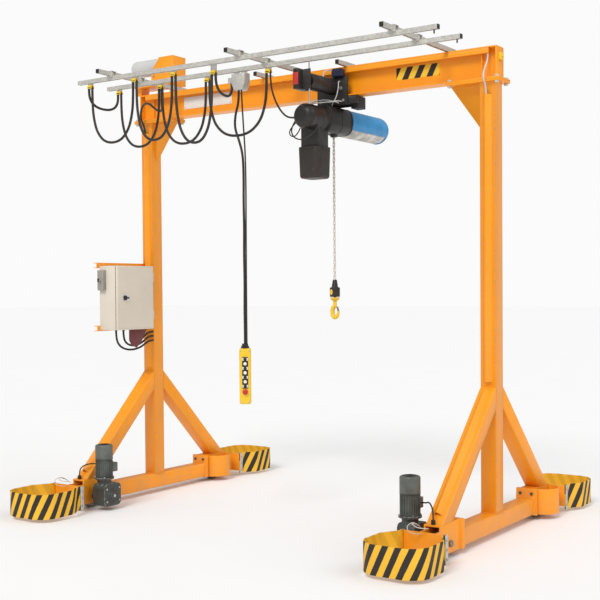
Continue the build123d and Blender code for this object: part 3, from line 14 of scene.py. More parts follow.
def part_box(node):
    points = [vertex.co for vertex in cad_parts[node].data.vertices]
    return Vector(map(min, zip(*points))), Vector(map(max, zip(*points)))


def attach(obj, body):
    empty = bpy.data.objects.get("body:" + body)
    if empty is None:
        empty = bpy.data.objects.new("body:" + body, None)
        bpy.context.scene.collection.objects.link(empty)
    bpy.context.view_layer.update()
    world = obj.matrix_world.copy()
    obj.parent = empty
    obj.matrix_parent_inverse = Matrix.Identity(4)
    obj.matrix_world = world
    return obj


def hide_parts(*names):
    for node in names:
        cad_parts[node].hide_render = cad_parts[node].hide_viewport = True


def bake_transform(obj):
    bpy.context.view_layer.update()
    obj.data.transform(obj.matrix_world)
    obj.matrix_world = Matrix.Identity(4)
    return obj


bl_info = {
    "name": "Gantry crane dresser",
    "version": (1, 0, 0),
    "blender": (4, 5, 0),
    "location": "3D View > Sidebar > Crane",
    "description": "Builds the visible pieces and finishes of a mobile electric gantry crane",
    "category": "Add Mesh",
}

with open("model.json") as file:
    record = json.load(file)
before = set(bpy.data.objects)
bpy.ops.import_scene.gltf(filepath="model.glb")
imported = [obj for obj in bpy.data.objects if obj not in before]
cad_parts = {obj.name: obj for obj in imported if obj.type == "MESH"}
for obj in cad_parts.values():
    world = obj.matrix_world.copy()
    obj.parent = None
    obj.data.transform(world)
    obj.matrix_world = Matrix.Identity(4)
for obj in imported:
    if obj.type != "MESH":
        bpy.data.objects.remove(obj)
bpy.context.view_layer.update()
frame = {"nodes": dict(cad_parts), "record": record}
FRAME_BODY = "crane_frame"
TROLLEY = "hoist_trolley"
PORTALS = (-1.584, 1.584)
ENDS = (-1, 1)
HALF_TUBE = 0.060
BASE_TOP = 0.166
BLOCK_TOP = 0.237
WELD = 0.005  # radius of a weld's bead
WELD_HALF = 0.052  # half of a weld's length across a tube
WHEEL_Y = 0.770
WHEEL_Z = 0.100
MOTOR_Y = -0.820
GRILLE_Z = 0.5225  # top of a travel motor's cowl
GEAR_Y = -0.792
GEAR_Z = 0.118
GEAR_FACE = 0.270  # from a portal's middle
DOOR_FACE = -1.4215  # front of the cabinet's door
SEAL_X = (-1.4475, -1.4440)  # back and front of the door's seal
SEAL = 0.012  # width of the seal
HOIST_X = 0.285
HOIST_Z = 3.018
BULGE_Z = 3.014
SEAM_HALF = 0.1015  # half width of the hoist housing's seams
CHAIN_X = 0.282
BOWL_Z = 1.566  # middle of the hook's bowl
PATCH_Z = 1.718  # yellow patch on the hook's sleeve
LINK_BEND = 0.0078  # radius of a link's round end
FINISHES = {}


class Signal:
    """A shader value that takes part in Python expressions."""

    def __init__(self, tree, socket):
        self.tree = tree
        self.socket = socket

    def _combine(self, operation, first, second):
        node = self.tree.nodes.new("ShaderNodeMath")
        node.operation = operation
        for slot, value in zip(node.inputs, (first, second)):
            if isinstance(value, Signal):
                self.tree.links.new(value.socket, slot)
            else:
                slot.default_value = value
        return Signal(self.tree, node.outputs[0])

    def __add__(self, other):
        return self._combine("ADD", self, other)

    def __radd__(self, other):
        return self._combine("ADD", other, self)

    def __sub__(self, other):
        return self._combine("SUBTRACT", self, other)

    def __rsub__(self, other):
        return self._combine("SUBTRACT", other, self)

    def __mul__(self, other):
        return self._combine("MULTIPLY", self, other)

    def __rmul__(self, other):
        return self._combine("MULTIPLY", other, self)

    def __truediv__(self, other):
        return self._combine("DIVIDE", self, other)

    def __mod__(self, other):
        return self._combine("FLOORED_MODULO", self, other)

    def __gt__(self, other):
        return self._combine("GREATER_THAN", self, other)



class Finish:
    """One material, mixed from nodes."""

    def __init__(self, name):
        self.material = bpy.data.materials.new(name)
        self.material.use_nodes = True
        self.tree = self.material.node_tree
        self.shader = self.tree.nodes["Principled BSDF"]

    def node(self, kind, settings=None, inputs=None, out=0):
        """Add a node, set it up, feed its sockets and return one of its outputs."""
        node = self.tree.nodes.new(kind)
        for key, value in (settings or {}).items():
            setattr(node, key, value)
        for key, value in (inputs or {}).items():
            self.feed(node.inputs[key], value)
        return Signal(self.tree, node.outputs[out])

    def feed(self, socket, value):
        """Link a signal to a socket, or set its number."""
        if isinstance(value, Signal):
            self.tree.links.new(value.socket, socket)
        else:
            socket.default_value = value

    def place(self):
        return self.node("ShaderNodeTexCoord", out="Object")

    def noise(self, place, scale, detail=3, roughness=0.55):
        sockets = {"Vector": place, "Scale": scale, "Detail": detail, "Roughness": roughness}
        return self.node("ShaderNodeTexNoise", None, sockets)

    def cells(self, place, scale):
        return self.node("ShaderNodeTexVoronoi", None, {"Vector": place, "Scale": scale}, "Color")

    def axis(self, place, name):
        return self.node("ShaderNodeSeparateXYZ", None, {"Vector": place}, name)

    def stretch(self, place, scale):
        return self.node("ShaderNodeMapping", None, {"Vector": place, "Scale": scale})

    def fade(self, value, low, high):
        """0 at low, 1 at high, straight between them."""
        sockets = {"Value": value, "From Min": low, "From Max": high}
        return self.node("ShaderNodeMapRange", {"clamp": True}, sockets)

    def blend(self, share, first, second):
        """Colour between two colours."""
        settings = {"data_type": "RGBA", "blend_type": "MIX"}
        return self.node("ShaderNodeMix", settings, {0: share, 6: first, 7: second}, 2)

    def mark(self, name):
        return self.node("ShaderNodeAttribute", {"attribute_name": name}, out="Fac")

    def bump(self, height, distance, strength=1.0):
        sockets = {"Height": height, "Distance": distance, "Strength": strength}
        return self.node("ShaderNodeBump", None, sockets)

    def close(self, colour, roughness, normal=None, metallic=0.0, coat=0.0):
        """Join the finished signals to the shader."""
        self.feed(self.shader.inputs["Base Color"], colour)
        self.feed(self.shader.inputs["Roughness"], roughness)
        self.feed(self.shader.inputs["Metallic"], metallic)
        self.feed(self.shader.inputs["Coat Weight"], coat)
        if normal is not None:
            self.feed(self.shader.inputs["Normal"], normal)
        return self.material


def tone(colour, share):
    """A colour made lighter or darker, with its alpha."""
    return tuple(min(1.0, part * share) for part in colour[:3]) + (1.0,)


def enamel(name, colour, gloss, worn=0.5, peel=0.0004):
    """Sprayed machine paint: faint patches, thin edges, dust near the floor, orange peel."""
    finish = Finish(name)
    place = finish.place()
    patches = finish.noise(place, 2.3, 4)
    specks = finish.noise(place, 85, 3, 0.7)
    colour_now = finish.blend(finish.fade(patches, 0.3, 0.7), tone(colour, 0.93), tone(colour, 1.05))
    height = finish.axis(place, "Z")
    dust = (1 - finish.fade(height, 0.02, 0.42)) * finish.fade(finish.noise(place, 9, 5), 0.35, 0.75) * 0.32
    colour_now = finish.blend(dust, colour_now, (0.30, 0.24, 0.17, 1))
    scuff = finish.fade(specks, 0.70, 0.76) * finish.fade(finish.noise(place, 6, 2), 0.5, 0.62) * 0.35
    colour_now = finish.blend(scuff, colour_now, tone(colour, 0.45))
    edge = finish.mark("worn") * finish.fade(finish.noise(place, 34, 4, 0.7), 0.50, 0.68) * worn
    colour_now = finish.blend(edge, colour_now, (0.35, 0.27, 0.19, 1))
    rough = gloss + 0.12 * patches + 0.25 * dust
    relief = finish.bump(finish.noise(place, 420, 2), peel, 0.5)
    return finish.close(colour_now, rough, relief)


def striped(name, colour, dark, pitch, lean, attribute=None):
    """Slanting two-colour bands, along an attribute or along X, with worn paint."""
    finish = Finish(name)
    place = finish.place()
    along = finish.mark(attribute) if attribute else finish.axis(place, "X")
    slanted = along + lean * finish.axis(place, "Z")
    wobble = 0.004 * finish.noise(place, 30, 3)
    band = ((slanted + wobble) / pitch % 1.0) > 0.5
    band = band * (1 - 0.82 * finish.mark("inner"))
    patches = finish.noise(place, 7, 4)
    bright = finish.blend(patches, tone(colour, 0.88), tone(colour, 1.06))
    deep = finish.blend(patches, tone(dark, 0.8), tone(dark, 1.5))
    colour_now = finish.blend(band, bright, deep)
    scrape = finish.noise(finish.stretch(place, (3, 3, 40)), 5, 5, 0.7)
    scuff = finish.fade(scrape, 0.60, 0.72) * 0.35
    colour_now = finish.blend(scuff, colour_now, (0.24, 0.20, 0.15, 1))
    rough = 0.42 + 0.2 * patches + 0.2 * scuff
    return finish.close(colour_now, rough, finish.bump(finish.noise(place, 300, 2), 0.0004, 0.5))


def galvanised(name, colour):
    """Zinc coat with a crystal pattern and dull streaks."""
    finish = Finish(name)
    place = finish.place()
    crystals = finish.axis(finish.cells(place, 75), "X")
    streaks = finish.noise(finish.stretch(place, (2, 2, 12)), 3, 4)
    colour_now = finish.blend(finish.fade(crystals, 0.1, 0.9), tone(colour, 0.94), tone(colour, 1.06))
    colour_now = finish.blend(finish.fade(streaks, 0.55, 0.8) * 0.25, colour_now, tone(colour, 0.62))
    rough = 0.34 + 0.2 * crystals + 0.12 * streaks
    return finish.close(colour_now, rough, finish.bump(streaks, 0.0005, 0.4), 0.55)


def moulded(name, colour, rough, grain=650):
    """Moulded plastic: fine grain, faint dust on it."""
    finish = Finish(name)
    place = finish.place()
    cloud = finish.noise(place, 8, 4)
    colour_now = finish.blend(finish.fade(cloud, 0.4, 0.75), tone(colour, 0.9), tone(colour, 1.18))
    dusty = finish.fade(finish.noise(place, 26, 5, 0.7), 0.56, 0.8) * 0.10
    colour_now = finish.blend(dusty, colour_now, (0.32, 0.29, 0.25, 1))
    relief = finish.bump(finish.noise(place, grain, 2), 0.0003, 0.6)
    return finish.close(colour_now, rough + 0.14 * cloud, relief)


def sheath(name, colour):
    """Cable sheath: smooth rubber with scuffed dull patches."""
    finish = Finish(name)
    place = finish.place()
    patches = finish.noise(place, 30, 4)
    colour_now = finish.blend(patches, tone(colour, 0.75), tone(colour, 1.5))
    relief = finish.bump(finish.noise(place, 240, 3), 0.0003, 0.5)
    return finish.close(colour_now, 0.46 + 0.2 * patches, relief)


def casting(name, colour, rough, metal=0.0):
    """Cast and painted metal with a coarse skin and oily patches."""
    finish = Finish(name)
    place = finish.place()
    oil = finish.noise(place, 11, 4)
    skin = finish.noise(place, 260, 4, 0.7)
    colour_now = finish.blend(finish.fade(oil, 0.35, 0.7), tone(colour, 0.72), tone(colour, 1.2))
    edge = finish.mark("worn") * finish.fade(finish.noise(place, 50, 4, 0.7), 0.46, 0.62) * 0.6
    colour_now = finish.blend(edge, colour_now, (0.42, 0.41, 0.38, 1))
    return finish.close(colour_now, rough + 0.2 * oil, finish.bump(skin, 0.0008, 0.5), metal)


def turned(name, colour, rough):
    """Machined steel with fine tool lines and a little rust bloom."""
    finish = Finish(name)
    place = finish.place()
    lines = finish.noise(finish.stretch(place, (400, 8, 8)), 3, 3)
    bloom = finish.fade(finish.noise(place, 22, 5, 0.7), 0.56, 0.74) * 0.5
    colour_now = finish.blend(lines, tone(colour, 0.8), tone(colour, 1.2))
    colour_now = finish.blend(bloom, colour_now, (0.17, 0.10, 0.06, 1))
    return finish.close(colour_now, rough + 0.2 * lines + 0.2 * bloom, finish.bump(lines, 0.0003, 0.5), 0.75)


def floor_grey(name, colour):
    """Pale matt floor with a hardly visible mottle."""
    finish = Finish(name)
    mottle = finish.noise(finish.place(), 1.3, 5)
    return finish.close(finish.blend(mottle, tone(colour, 0.985), tone(colour, 1.015)), 0.85)


def colour(title, tip, default):
    """Property that holds a colour."""
    return bpy.props.FloatVectorProperty(
        name=title, description=tip, subtype="COLOR", size=3, default=default, min=0, max=1)


def length(title, tip, default):
    """Property that holds a length."""
    return bpy.props.FloatProperty(name=title, description=tip, default=default, unit="LENGTH")


class CraneColours(bpy.types.PropertyGroup):
    """Colours that a user would change."""

    paint: colour("Frame paint", "Orange-yellow of the steel frame", (0.90, 0.315, 0.005))
    bumper: colour("Bumper yellow", "Bright bands of the bumpers", (0.85, 0.46, 0.018))
    band: colour("Band black", "Dark bands of the bumpers", (0.012, 0.009, 0.007))
    zinc: colour("Zinc", "Galvanised rails and arms", (0.60, 0.585, 0.535))
    cabinet: colour("Cabinet", "Powder coat of the switch cabinet", (0.67, 0.60, 0.50))
    cover: colour("Motor cover", "Moulded cover over the hoist motor", (0.032, 0.26, 0.55))
    control: colour("Control yellow", "Pendant box and load hook", (0.82, 0.53, 0.02))
    drive: colour("Drive grey", "Travel motors and gearboxes", (0.105, 0.115, 0.103))
    plastic: colour("Black plastic", "Housings, saddles and caps", (0.015, 0.012, 0.010))
    rubber: colour("Cable black", "Sheath of the cables", (0.020, 0.016, 0.013))


class CraneSizes(bpy.types.PropertyGroup):
    """Sizes that a user would change."""

    tube_edge: length("Tube edge", "Rounding of the square tubes", 0.008)
    plate_edge: length("Plate edge", "Rounding of plates and castings", 0.0018)
    stripe: length("Stripe pitch", "One yellow and one black band of a bumper", 0.088)
    link_pitch: length("Link pitch", "Inner length of a chain link", 0.030)
    link_wire: length("Link wire", "Diameter of the chain's wire", 0.0075)
    fins: bpy.props.IntProperty(
        name="Fins", description="Cooling fins round a travel motor", default=26, min=8)
    key_light: bpy.props.FloatProperty(
        name="Key light", description="Strength of the main lamp", default=1.75)


def paints():
    """All finishes, made once."""
    if FINISHES:
        return FINISHES
    colours = bpy.context.scene.crane_colours
    FINISHES["paint"] = enamel("frame_paint", colours.paint, 0.30)
    FINISHES["weld"] = enamel("weld_paint", tone(colours.paint, 0.92), 0.34, 0.2, 0.003)
    FINISHES["zinc"] = galvanised("zinc_coat", colours.zinc)
    FINISHES["cabinet"] = enamel("cabinet_coat", colours.cabinet, 0.38, 0.15, 0.0003)
    FINISHES["cover"] = moulded("cover_blue", colours.cover, 0.22)
    FINISHES["control"] = enamel("control_yellow", colours.control, 0.30, 0.35, 0.0002)
    FINISHES["drive"] = casting("drive_grey", colours.drive, 0.34)
    FINISHES["plastic"] = moulded("black_plastic", colours.plastic, 0.36)
    FINISHES["deep_blue"] = moulded("deep_blue_cap", (0.012, 0.016, 0.05), 0.34)
    FINISHES["rubber"] = sheath("cable_black", colours.rubber)
    FINISHES["pale_rubber"] = sheath("cable_grey", (0.50, 0.49, 0.46))
    FINISHES["silver"] = casting("silver_casting", (0.72, 0.71, 0.68), 0.40, 0.3)
    FINISHES["bag"] = moulded("bag_black", (0.024, 0.018, 0.013), 0.42, 420)
    FINISHES["flap"] = moulded("flap_maroon", (0.15, 0.035, 0.03), 0.5)
    FINISHES["gear"] = casting("gear_casting", tone(colours.drive, 0.45), 0.36)
    FINISHES["isolator"] = enamel("isolator_grey", (0.30, 0.28, 0.24), 0.40, 0.2)
    FINISHES["drum"] = enamel("drum_grey", (0.52, 0.52, 0.51), 0.36, 0.2)
    FINISHES["chain"] = galvanised("chain_zinc", (0.72, 0.66, 0.54))
    FINISHES["wheel"] = turned("wheel_steel", (0.26, 0.24, 0.22), 0.36)
    FINISHES["steel"] = turned("bright_steel", (0.50, 0.49, 0.47), 0.26)
    FINISHES["red"] = enamel("red_panel", (0.48, 0.025, 0.018), 0.34, 0.2)
    FINISHES["white"] = moulded("white_plastic", (0.74, 0.73, 0.70), 0.36)
    FINISHES["pale"] = enamel("pale_plate", (0.78, 0.76, 0.70), 0.42, 0.1, 0.0002)
    sizes = bpy.context.scene.crane_sizes
    FINISHES["stripes"] = striped(
        "bumper_stripes", colours.bumper, colours.band, sizes.stripe, -0.47, "along")
    FINISHES["hazard"] = striped("hazard_stripes", (0.85, 0.52, 0.02), colours.band, 0.100, -0.5)
    return FINISHES


def show(name, mesh, finish, body, smooth=35):
    """Put a mesh in the scene on a body, with its finish and its sharp edges."""
    mesh.materials.clear()
    mesh.materials.append(paints()[finish])
    mesh.polygons.foreach_set("use_smooth", [True] * len(mesh.polygons))
    mesh.set_sharp_from_angle(angle=radians(smooth))
    piece = bpy.data.objects.new(name, mesh)
    bpy.context.scene.collection.objects.link(piece)
    if body:
        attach(piece, body)
    return piece


def settle(name, bm):
    """Mesh from a bmesh, with its faces turned outwards."""
    bmesh.ops.recalc_face_normals(bm, faces=bm.faces)
    mesh = bpy.data.meshes.new(name)
    bm.to_mesh(mesh)
    bm.free()
    return mesh


def put(name, bm, finish, body, smooth=35):
    """Turn a bmesh into a piece of the scene."""
    return show(name, settle(name, bm), finish, body, smooth)


def slab(bm, low, high):
    """Box between two corners."""
    low, high = Vector(low), Vector(high)
    size = Matrix.Diagonal((*(high - low), 1))
    made = bmesh.ops.create_cube(bm, size=1, matrix=Matrix.Translation((low + high) / 2) @ size)
    return made["verts"]


def bar(bm, start, end, radius, end_radius=None, sides=24):
    """Round bar or cone between two points."""
    start, end = Vector(start), Vector(end)
    along = end - start
    turn = along.to_track_quat("Z", "Y").to_matrix().to_4x4()
    matrix = Matrix.Translation((start + end) / 2) @ turn
    made = bmesh.ops.create_cone(
        bm, cap_ends=True, segments=sides, radius1=radius,
        radius2=radius if end_radius is None else end_radius, depth=along.length, matrix=matrix)
    return made["verts"]


def edges_of(verts):
    """The edges at some points, each once and in a fixed order."""
    return list(dict.fromkeys(edge for vert in verts for edge in vert.link_edges))


def hoop(bm, centre, axis, radius, wire, steps=24, sides=8):
    """Round ring of wire about an axis."""
    axis = Vector(axis).normalized()
    side = axis.orthogonal().normalized()
    matrix = Matrix.Translation(Vector(centre) + side * radius)
    turn = axis.cross(side).to_track_quat("Z", "Y").to_matrix().to_4x4()
    made = bmesh.ops.create_circle(bm, segments=sides, radius=wire, matrix=matrix @ turn)
    edges = edges_of(made["verts"])
    bmesh.ops.spin(
        bm, geom=made["verts"] + edges, cent=centre, axis=axis, angle=2 * pi, steps=steps, use_merge=True)


def tube(bm, points, radii, sides=12):
    """Round tube through points, with a radius at each of them."""
    heading = points[1] - points[0]
    matrix = Matrix.Translation(points[0]) @ heading.to_track_quat("Z", "Y").to_matrix().to_4x4()
    ring = bmesh.ops.create_circle(bm, cap_ends=True, segments=sides, radius=radii[0], matrix=matrix)["verts"]
    edges = edges_of(ring)
    for index in range(1, len(points)):
        made = bmesh.ops.extrude_edge_only(bm, edges=edges)["geom"]
        ring = [item for item in made if isinstance(item, bmesh.types.BMVert)]
        edges = [item for item in made if isinstance(item, bmesh.types.BMEdge)]
        step = points[index] - points[index - 1]
        turn = heading.rotation_difference(step).to_matrix()
        bmesh.ops.rotate(bm, verts=ring, cent=points[index - 1], matrix=turn)
        bmesh.ops.translate(bm, verts=ring, vec=step)
        grow = radii[index] / radii[index - 1]
        bmesh.ops.scale(bm, verts=ring, vec=(grow, grow, grow), space=Matrix.Translation(-points[index]))
        heading = step
    bmesh.ops.edgeloop_fill(bm, edges=edges)


def soften(bm, width, segments=2, limit=35, pick=None):
    """Round the sharp edges, and mark the new faces as worn."""
    worn = bm.faces.layers.float.get("worn") or bm.faces.layers.float.new("worn")
    sharp = [
        edge for edge in bm.edges
        if len(edge.link_faces) == 2
        and edge.calc_face_angle(0) > radians(limit)
        and (pick is None or pick(edge))
    ]
    made = bmesh.ops.bevel(
        bm, geom=sharp, offset=width, offset_type="OFFSET", affect="EDGES", segments=segments,
        profile=0.5, clamp_overlap=False, material=-1)
    for face in made["faces"]:
        face[worn] = 1.0


def joined(node):
    """Copy of a solid's mesh with its loose triangles joined and its flat faces whole."""
    bm = bmesh.new()
    bm.from_mesh(frame["nodes"][node].data)
    bmesh.ops.remove_doubles(bm, verts=bm.verts, dist=0.00002)
    bmesh.ops.dissolve_limit(bm, angle_limit=radians(0.6), verts=bm.verts, edges=bm.edges)
    return bm


def body_of(node):
    return next(body for body, nodes in frame["record"]["behaviour"]["bodies"].items() if node in nodes)


def dress(node, finish, width, segments=2, long_width=None, long_edge=0.5):
    """Stand a copy of a solid with rounded edges in the solid's place."""
    bm = joined(node)
    if long_width:
        soften(bm, long_width, 3, pick=lambda edge: edge.calc_length() > long_edge)
        soften(bm, width, segments, pick=lambda edge: edge.calc_length() <= long_edge)
    else:
        soften(bm, width, segments)
    mesh = bpy.data.meshes.new(node + "_dressed")
    bm.to_mesh(mesh)
    bm.free()
    piece = show(node + "_dressed", mesh, finish, body_of(node))
    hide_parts(node)
    return piece


# Free cables. The routes are those of the solids, in metres.
LOOP_SHARES = (
    (0, 0), (0, 0.27), (0.03, 0.54), (0.12, 0.80), (0.33, 0.985),
    (0.67, 0.985), (0.88, 0.80), (0.97, 0.54), (1, 0.27), (1, 0),
)
NEAR_Y = -0.823
FAR_Y = -0.497
PENDANT_Y = -0.521
PANEL_LOW, PANEL_HIGH = 1.000, 1.236  # dark strip that holds the buttons
BUTTONS = 7
STOP_Z = 0.975  # the red stop button
SADDLE_Z = 3.338
LOW_SADDLE_Z = 3.306
GRIP_HALF = 0.0165  # half width of a saddle and of a rail
CLIP_HALF = 0.028  # half length of a clip that ties a rail to an arm
CLIP_SIDE = 0.026  # half width of such a clip
SADDLE_BEND = 0.018  # from a saddle's middle to the cable on either side
# Each rail: name, place, saddles along it with their heights, depths of the loops between them
FESTOON = (
    ("near", NEAR_Y, (
        (-1.472, SADDLE_Z), (-1.000, SADDLE_Z), (-0.606, SADDLE_Z), (-0.223, LOW_SADDLE_Z)),
        (0.446, 0.463, 0.500)),
    ("far", FAR_Y, (
        (-1.473, SADDLE_Z), (-1.027, SADDLE_Z), (-0.547, SADDLE_Z), (0.032, SADDLE_Z)),
        (0.444, 0.457, 0.440)),
)
PENDANT_ROUTE = (
    (-0.228, PENDANT_Y, 3.238), (-0.228, PENDANT_Y, 3.150), (-0.262, PENDANT_Y, 3.060),
    (-0.270, PENDANT_Y, 2.960), (-0.228, PENDANT_Y, 2.860), (-0.194, PENDANT_Y, 2.750),
    (-0.189, PENDANT_Y, 2.580), (-0.192, PENDANT_Y, 2.390), (-0.188, PENDANT_Y, 2.200),
    (-0.192, PENDANT_Y, 2.000), (-0.188, PENDANT_Y, 1.800), (-0.192, PENDANT_Y, 1.600),
    (-0.190, PENDANT_Y, 1.450), (-0.190, PENDANT_Y, 1.320),
)
SUPPLY_ROUTE = (
    (-1.584, -0.078, 3.080), (-1.584, -0.078, 3.125), (-1.582, -0.128, 3.190), (-1.555, -0.160, 3.260),
    (-1.480, -0.205, 3.305), (-1.360, -0.270, 3.290), (-1.230, -0.345, 3.225), (-1.130, -0.400, 3.180),
    (-1.062, -0.440, 3.184), (-1.027, FAR_Y + 0.009, 3.242), (-1.027, FAR_Y + 0.009, SADDLE_Z),
)
HOIST_ROUTE = (
    (0.050, FAR_Y, SADDLE_Z), (0.050, FAR_Y, 3.250), (0.057, -0.462, 3.155), (0.074, -0.420, 3.080),
    (0.100, -0.388, 3.034), (0.140, -0.370, 3.014), (0.181, -0.370, 3.014),
)
DROP_ROUTE = (
    (1.584, -0.046, 3.366), (1.584, -0.046, 3.335), (1.584, -0.072, 3.285), (1.584, -0.112, 3.240),
    (1.584, -0.128, 3.192), (1.584, -0.078, 3.127), (1.584, -0.078, 3.080),
)
DRIVE_ROUTE = (
    (0, -0.890, 0.267), (0, -0.890, 0.312), (0.020, -0.868, 0.345), (0.058, -0.826, 0.360),
    (0.100, -0.775, 0.352), (0.128, -0.738, 0.337), (0.167, -0.738, 0.337),
)
CABINET_ROUTES = (
    (
        (-1.536, -0.420, 1.420), (-1.536, -0.420, 1.360), (-1.536, -0.398, 1.312), (-1.536, -0.345, 1.284),
        (-1.536, -0.270, 1.280), (-1.536, -0.195, 1.302), (-1.536, -0.138, 1.338), (-1.536, -0.100, 1.352),
        (-1.536, -0.060, 1.352),
    ),
    (
        (-1.506, -0.350, 1.420), (-1.506, -0.350, 1.372), (-1.508, -0.332, 1.336), (-1.513, -0.290, 1.316),
        (-1.521, -0.235, 1.322), (-1.530, -0.180, 1.350), (-1.536, -0.135, 1.378), (-1.536, -0.100, 1.388),
        (-1.536, -0.060, 1.388),
    ),
    (
        (-1.561, -0.480, 1.420), (-1.561, -0.480, 1.350), (-1.559, -0.452, 1.290), (-1.555, -0.388, 1.254),
        (-1.549, -0.300, 1.244), (-1.543, -0.212, 1.260), (-1.538, -0.145, 1.296), (-1.536, -0.104, 1.314),
        (-1.536, -0.060, 1.314),
    ),
)
# Thin wiring tied to the trolley and the hoist: finish, diameter, route
HARNESS = (
    ("pale_rubber", 0.009, (
        (0.345, -0.085, 3.372), (0.332, -0.130, 3.388), (0.314, -0.168, 3.372), (0.306, -0.186, 3.340),
        (0.312, -0.180, 3.316))),
    ("pale_rubber", 0.007, (
        (0.392, -0.079, 3.300), (0.402, -0.118, 3.300), (0.416, -0.140, 3.245), (0.400, -0.145, 3.170),
        (0.356, -0.132, 3.136), (0.330, -0.100, 3.118))),
    ("pale_rubber", 0.009, (
        (0.405, -0.079, 3.150), (0.398, -0.118, 3.152), (0.362, -0.160, 3.140), (0.302, -0.235, 3.130),
        (0.240, -0.320, 3.106), (0.218, -0.372, 3.078))),
    ("pale_rubber", 0.007, (
        (0.380, -0.079, 3.140), (0.366, -0.130, 3.150), (0.310, -0.190, 3.158), (0.262, -0.240, 3.140),
        (0.226, -0.290, 3.104), (0.212, -0.320, 3.070))),
    ("rubber", 0.010, (
        (0.188, -0.368, 2.998), (0.160, -0.392, 2.945), (0.172, -0.400, 2.874), (0.235, -0.392, 2.838),
        (0.305, -0.370, 2.862), (0.346, -0.340, 2.918), (0.352, -0.325, 2.952))),
    ("rubber", 0.009, (
        (0.206, -0.400, 2.968), (0.166, -0.428, 2.920), (0.176, -0.430, 2.866), (0.224, -0.412, 2.868),
        (0.246, -0.398, 2.930))),
)
# Loose wiring on top of the two near wheel blocks: diameter, route from the portal's middle
BLOCK_WIRES = (
    (0.006, (
        (-0.070, -0.960, 0.236), (-0.080, -1.000, 0.258), (-0.066, -1.056, 0.268), (-0.020, -1.080, 0.252),
        (0.022, -1.060, 0.246), (0.030, -1.010, 0.236))),
    (0.005, (
        (-0.060, -0.950, 0.226), (-0.070, -1.004, 0.270), (-0.096, -1.056, 0.256), (-0.080, -1.086, 0.226),
        (-0.040, -1.070, 0.204), (-0.020, -1.018, 0.200))),
)
PENDANT_WIRE = (
    (-0.203, PENDANT_Y, 3.240), (-0.194, PENDANT_Y, 3.050), (-0.166, PENDANT_Y, 2.700),
    (-0.173, PENDANT_Y, 2.000), (-0.173, PENDANT_Y, 1.318),
)


def hanging(start, end, depth):
    """Route of a loop that hangs between two points."""
    route = []
    for across, down in LOOP_SHARES:
        x, y, z = (a + across * (b - a) for a, b in zip(start, end))
        route.append((x, y, z - down * depth))
    return route


def spline(name, route):
    """Curve with the route's points as the control points of one smooth line."""
    curve = bpy.data.curves.new(name, "CURVE")
    curve.dimensions = "3D"
    line = curve.splines.new("NURBS")
    line.points.add(len(route) - 1)
    for point, place in zip(line.points, route):
        point.co = (*place, 1)
    line.order_u = 3
    line.use_endpoint_u = True
    line.resolution_u = 10
    return curve


def followed(name, route):
    """Points along the smooth line of a route."""
    curve = spline(name, route)
    helper = bpy.data.objects.new(name, curve)
    mesh = bpy.data.meshes.new_from_object(helper)
    points = [vert.co.copy() for vert in mesh.vertices]
    bpy.data.meshes.remove(mesh)
    bpy.data.objects.remove(helper)
    bpy.data.curves.remove(curve)
    return points


def run_length(points):
    return sum((b - a).length for a, b in zip(points, points[1:]))


def lay_cable(name, route, diameter, node, finish="rubber", body=FRAME_BODY):
    """One free cable between two places on the crane."""
    curve = spline(name, route)
    curve.bevel_depth = diameter / 2
    curve.bevel_resolution = 4
    curve.use_fill_caps = True
    curve.materials.append(paints()[finish])
    piece = bpy.data.objects.new(name, curve)
    bpy.context.scene.collection.objects.link(piece)
    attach(piece, body)
    if node:
        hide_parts(node)
    length = run_length(followed(name + "_line", route))
    return piece


class CRANE_OT_cables(bpy.types.Operator):
    """Hang the festoon loops and the other free cables"""

    bl_idname = "crane.cables"
    bl_label = "Cables"

    def execute(self, context):
        for row, y, saddles, depths in FESTOON:
            for index, depth in enumerate(depths):
                start = (saddles[index][0] + SADDLE_BEND, y, saddles[index][1])
                end = (saddles[index + 1][0] - SADDLE_BEND, y, saddles[index + 1][1])
                lay_cable(f"{row}_loop_{index + 1}", hanging(start, end, depth), 0.020, row + "_loops")
        link = hanging((-1.490, NEAR_Y, SADDLE_Z), (-1.491, FAR_Y, SADDLE_Z), 0.140)
        lay_cable("link_cable", link, 0.020, "link_cables")
        plug = hanging((-0.205, NEAR_Y, LOW_SADDLE_Z), (-0.312, FAR_Y, 3.300), 0.120)
        lay_cable("plug_cable", plug, 0.020, "link_cables")
        lay_cable("pendant_line", PENDANT_ROUTE, 0.018, "pendant_cable")
        lay_cable("pendant_wire", PENDANT_WIRE, 0.012, "pendant_cable")
        lay_cable("supply_line", SUPPLY_ROUTE, 0.018, "supply_cable", "rubber")
        lay_cable("drop_line", DROP_ROUTE, 0.012, "drop_cable", "pale_rubber")
        for place, portal, side in zip(("left", "right"), PORTALS, ENDS):
            route = [(portal - side * x, y, z) for x, y, z in DRIVE_ROUTE]
            lay_cable(place + "_drive_line", route, 0.010, "drive_cables", "rubber")
        for index, route in enumerate(CABINET_ROUTES):
            lay_cable(f"cabinet_line_{index + 1}", route, 0.017, "cabinet_cables", "rubber")
        for index, (finish, diameter, route) in enumerate(HARNESS):
            lay_cable(f"hoist_wire_{index + 1}", route, diameter, None, finish, TROLLEY)
        for place, portal in zip(("left", "right"), PORTALS):
            for index, (diameter, route) in enumerate(BLOCK_WIRES):
                moved = [(portal + x, y, z) for x, y, z in route]
                lay_cable(f"{place}_block_wire_{index + 1}", moved, diameter, None, "pale_rubber")
        self.hoist_line()
        return {"FINISHED"}

    def hoist_line(self):
        """The last strand stretches between the last saddle and the moving hoist."""
        points = followed("hoist_line_path", HOIST_ROUTE)
        bm = bmesh.new()
        tube(bm, points, [0.007] * len(points))
        piece = put("hoist_line", bm, "rubber", None, 60)
        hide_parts("hoist_cable")
        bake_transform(piece)


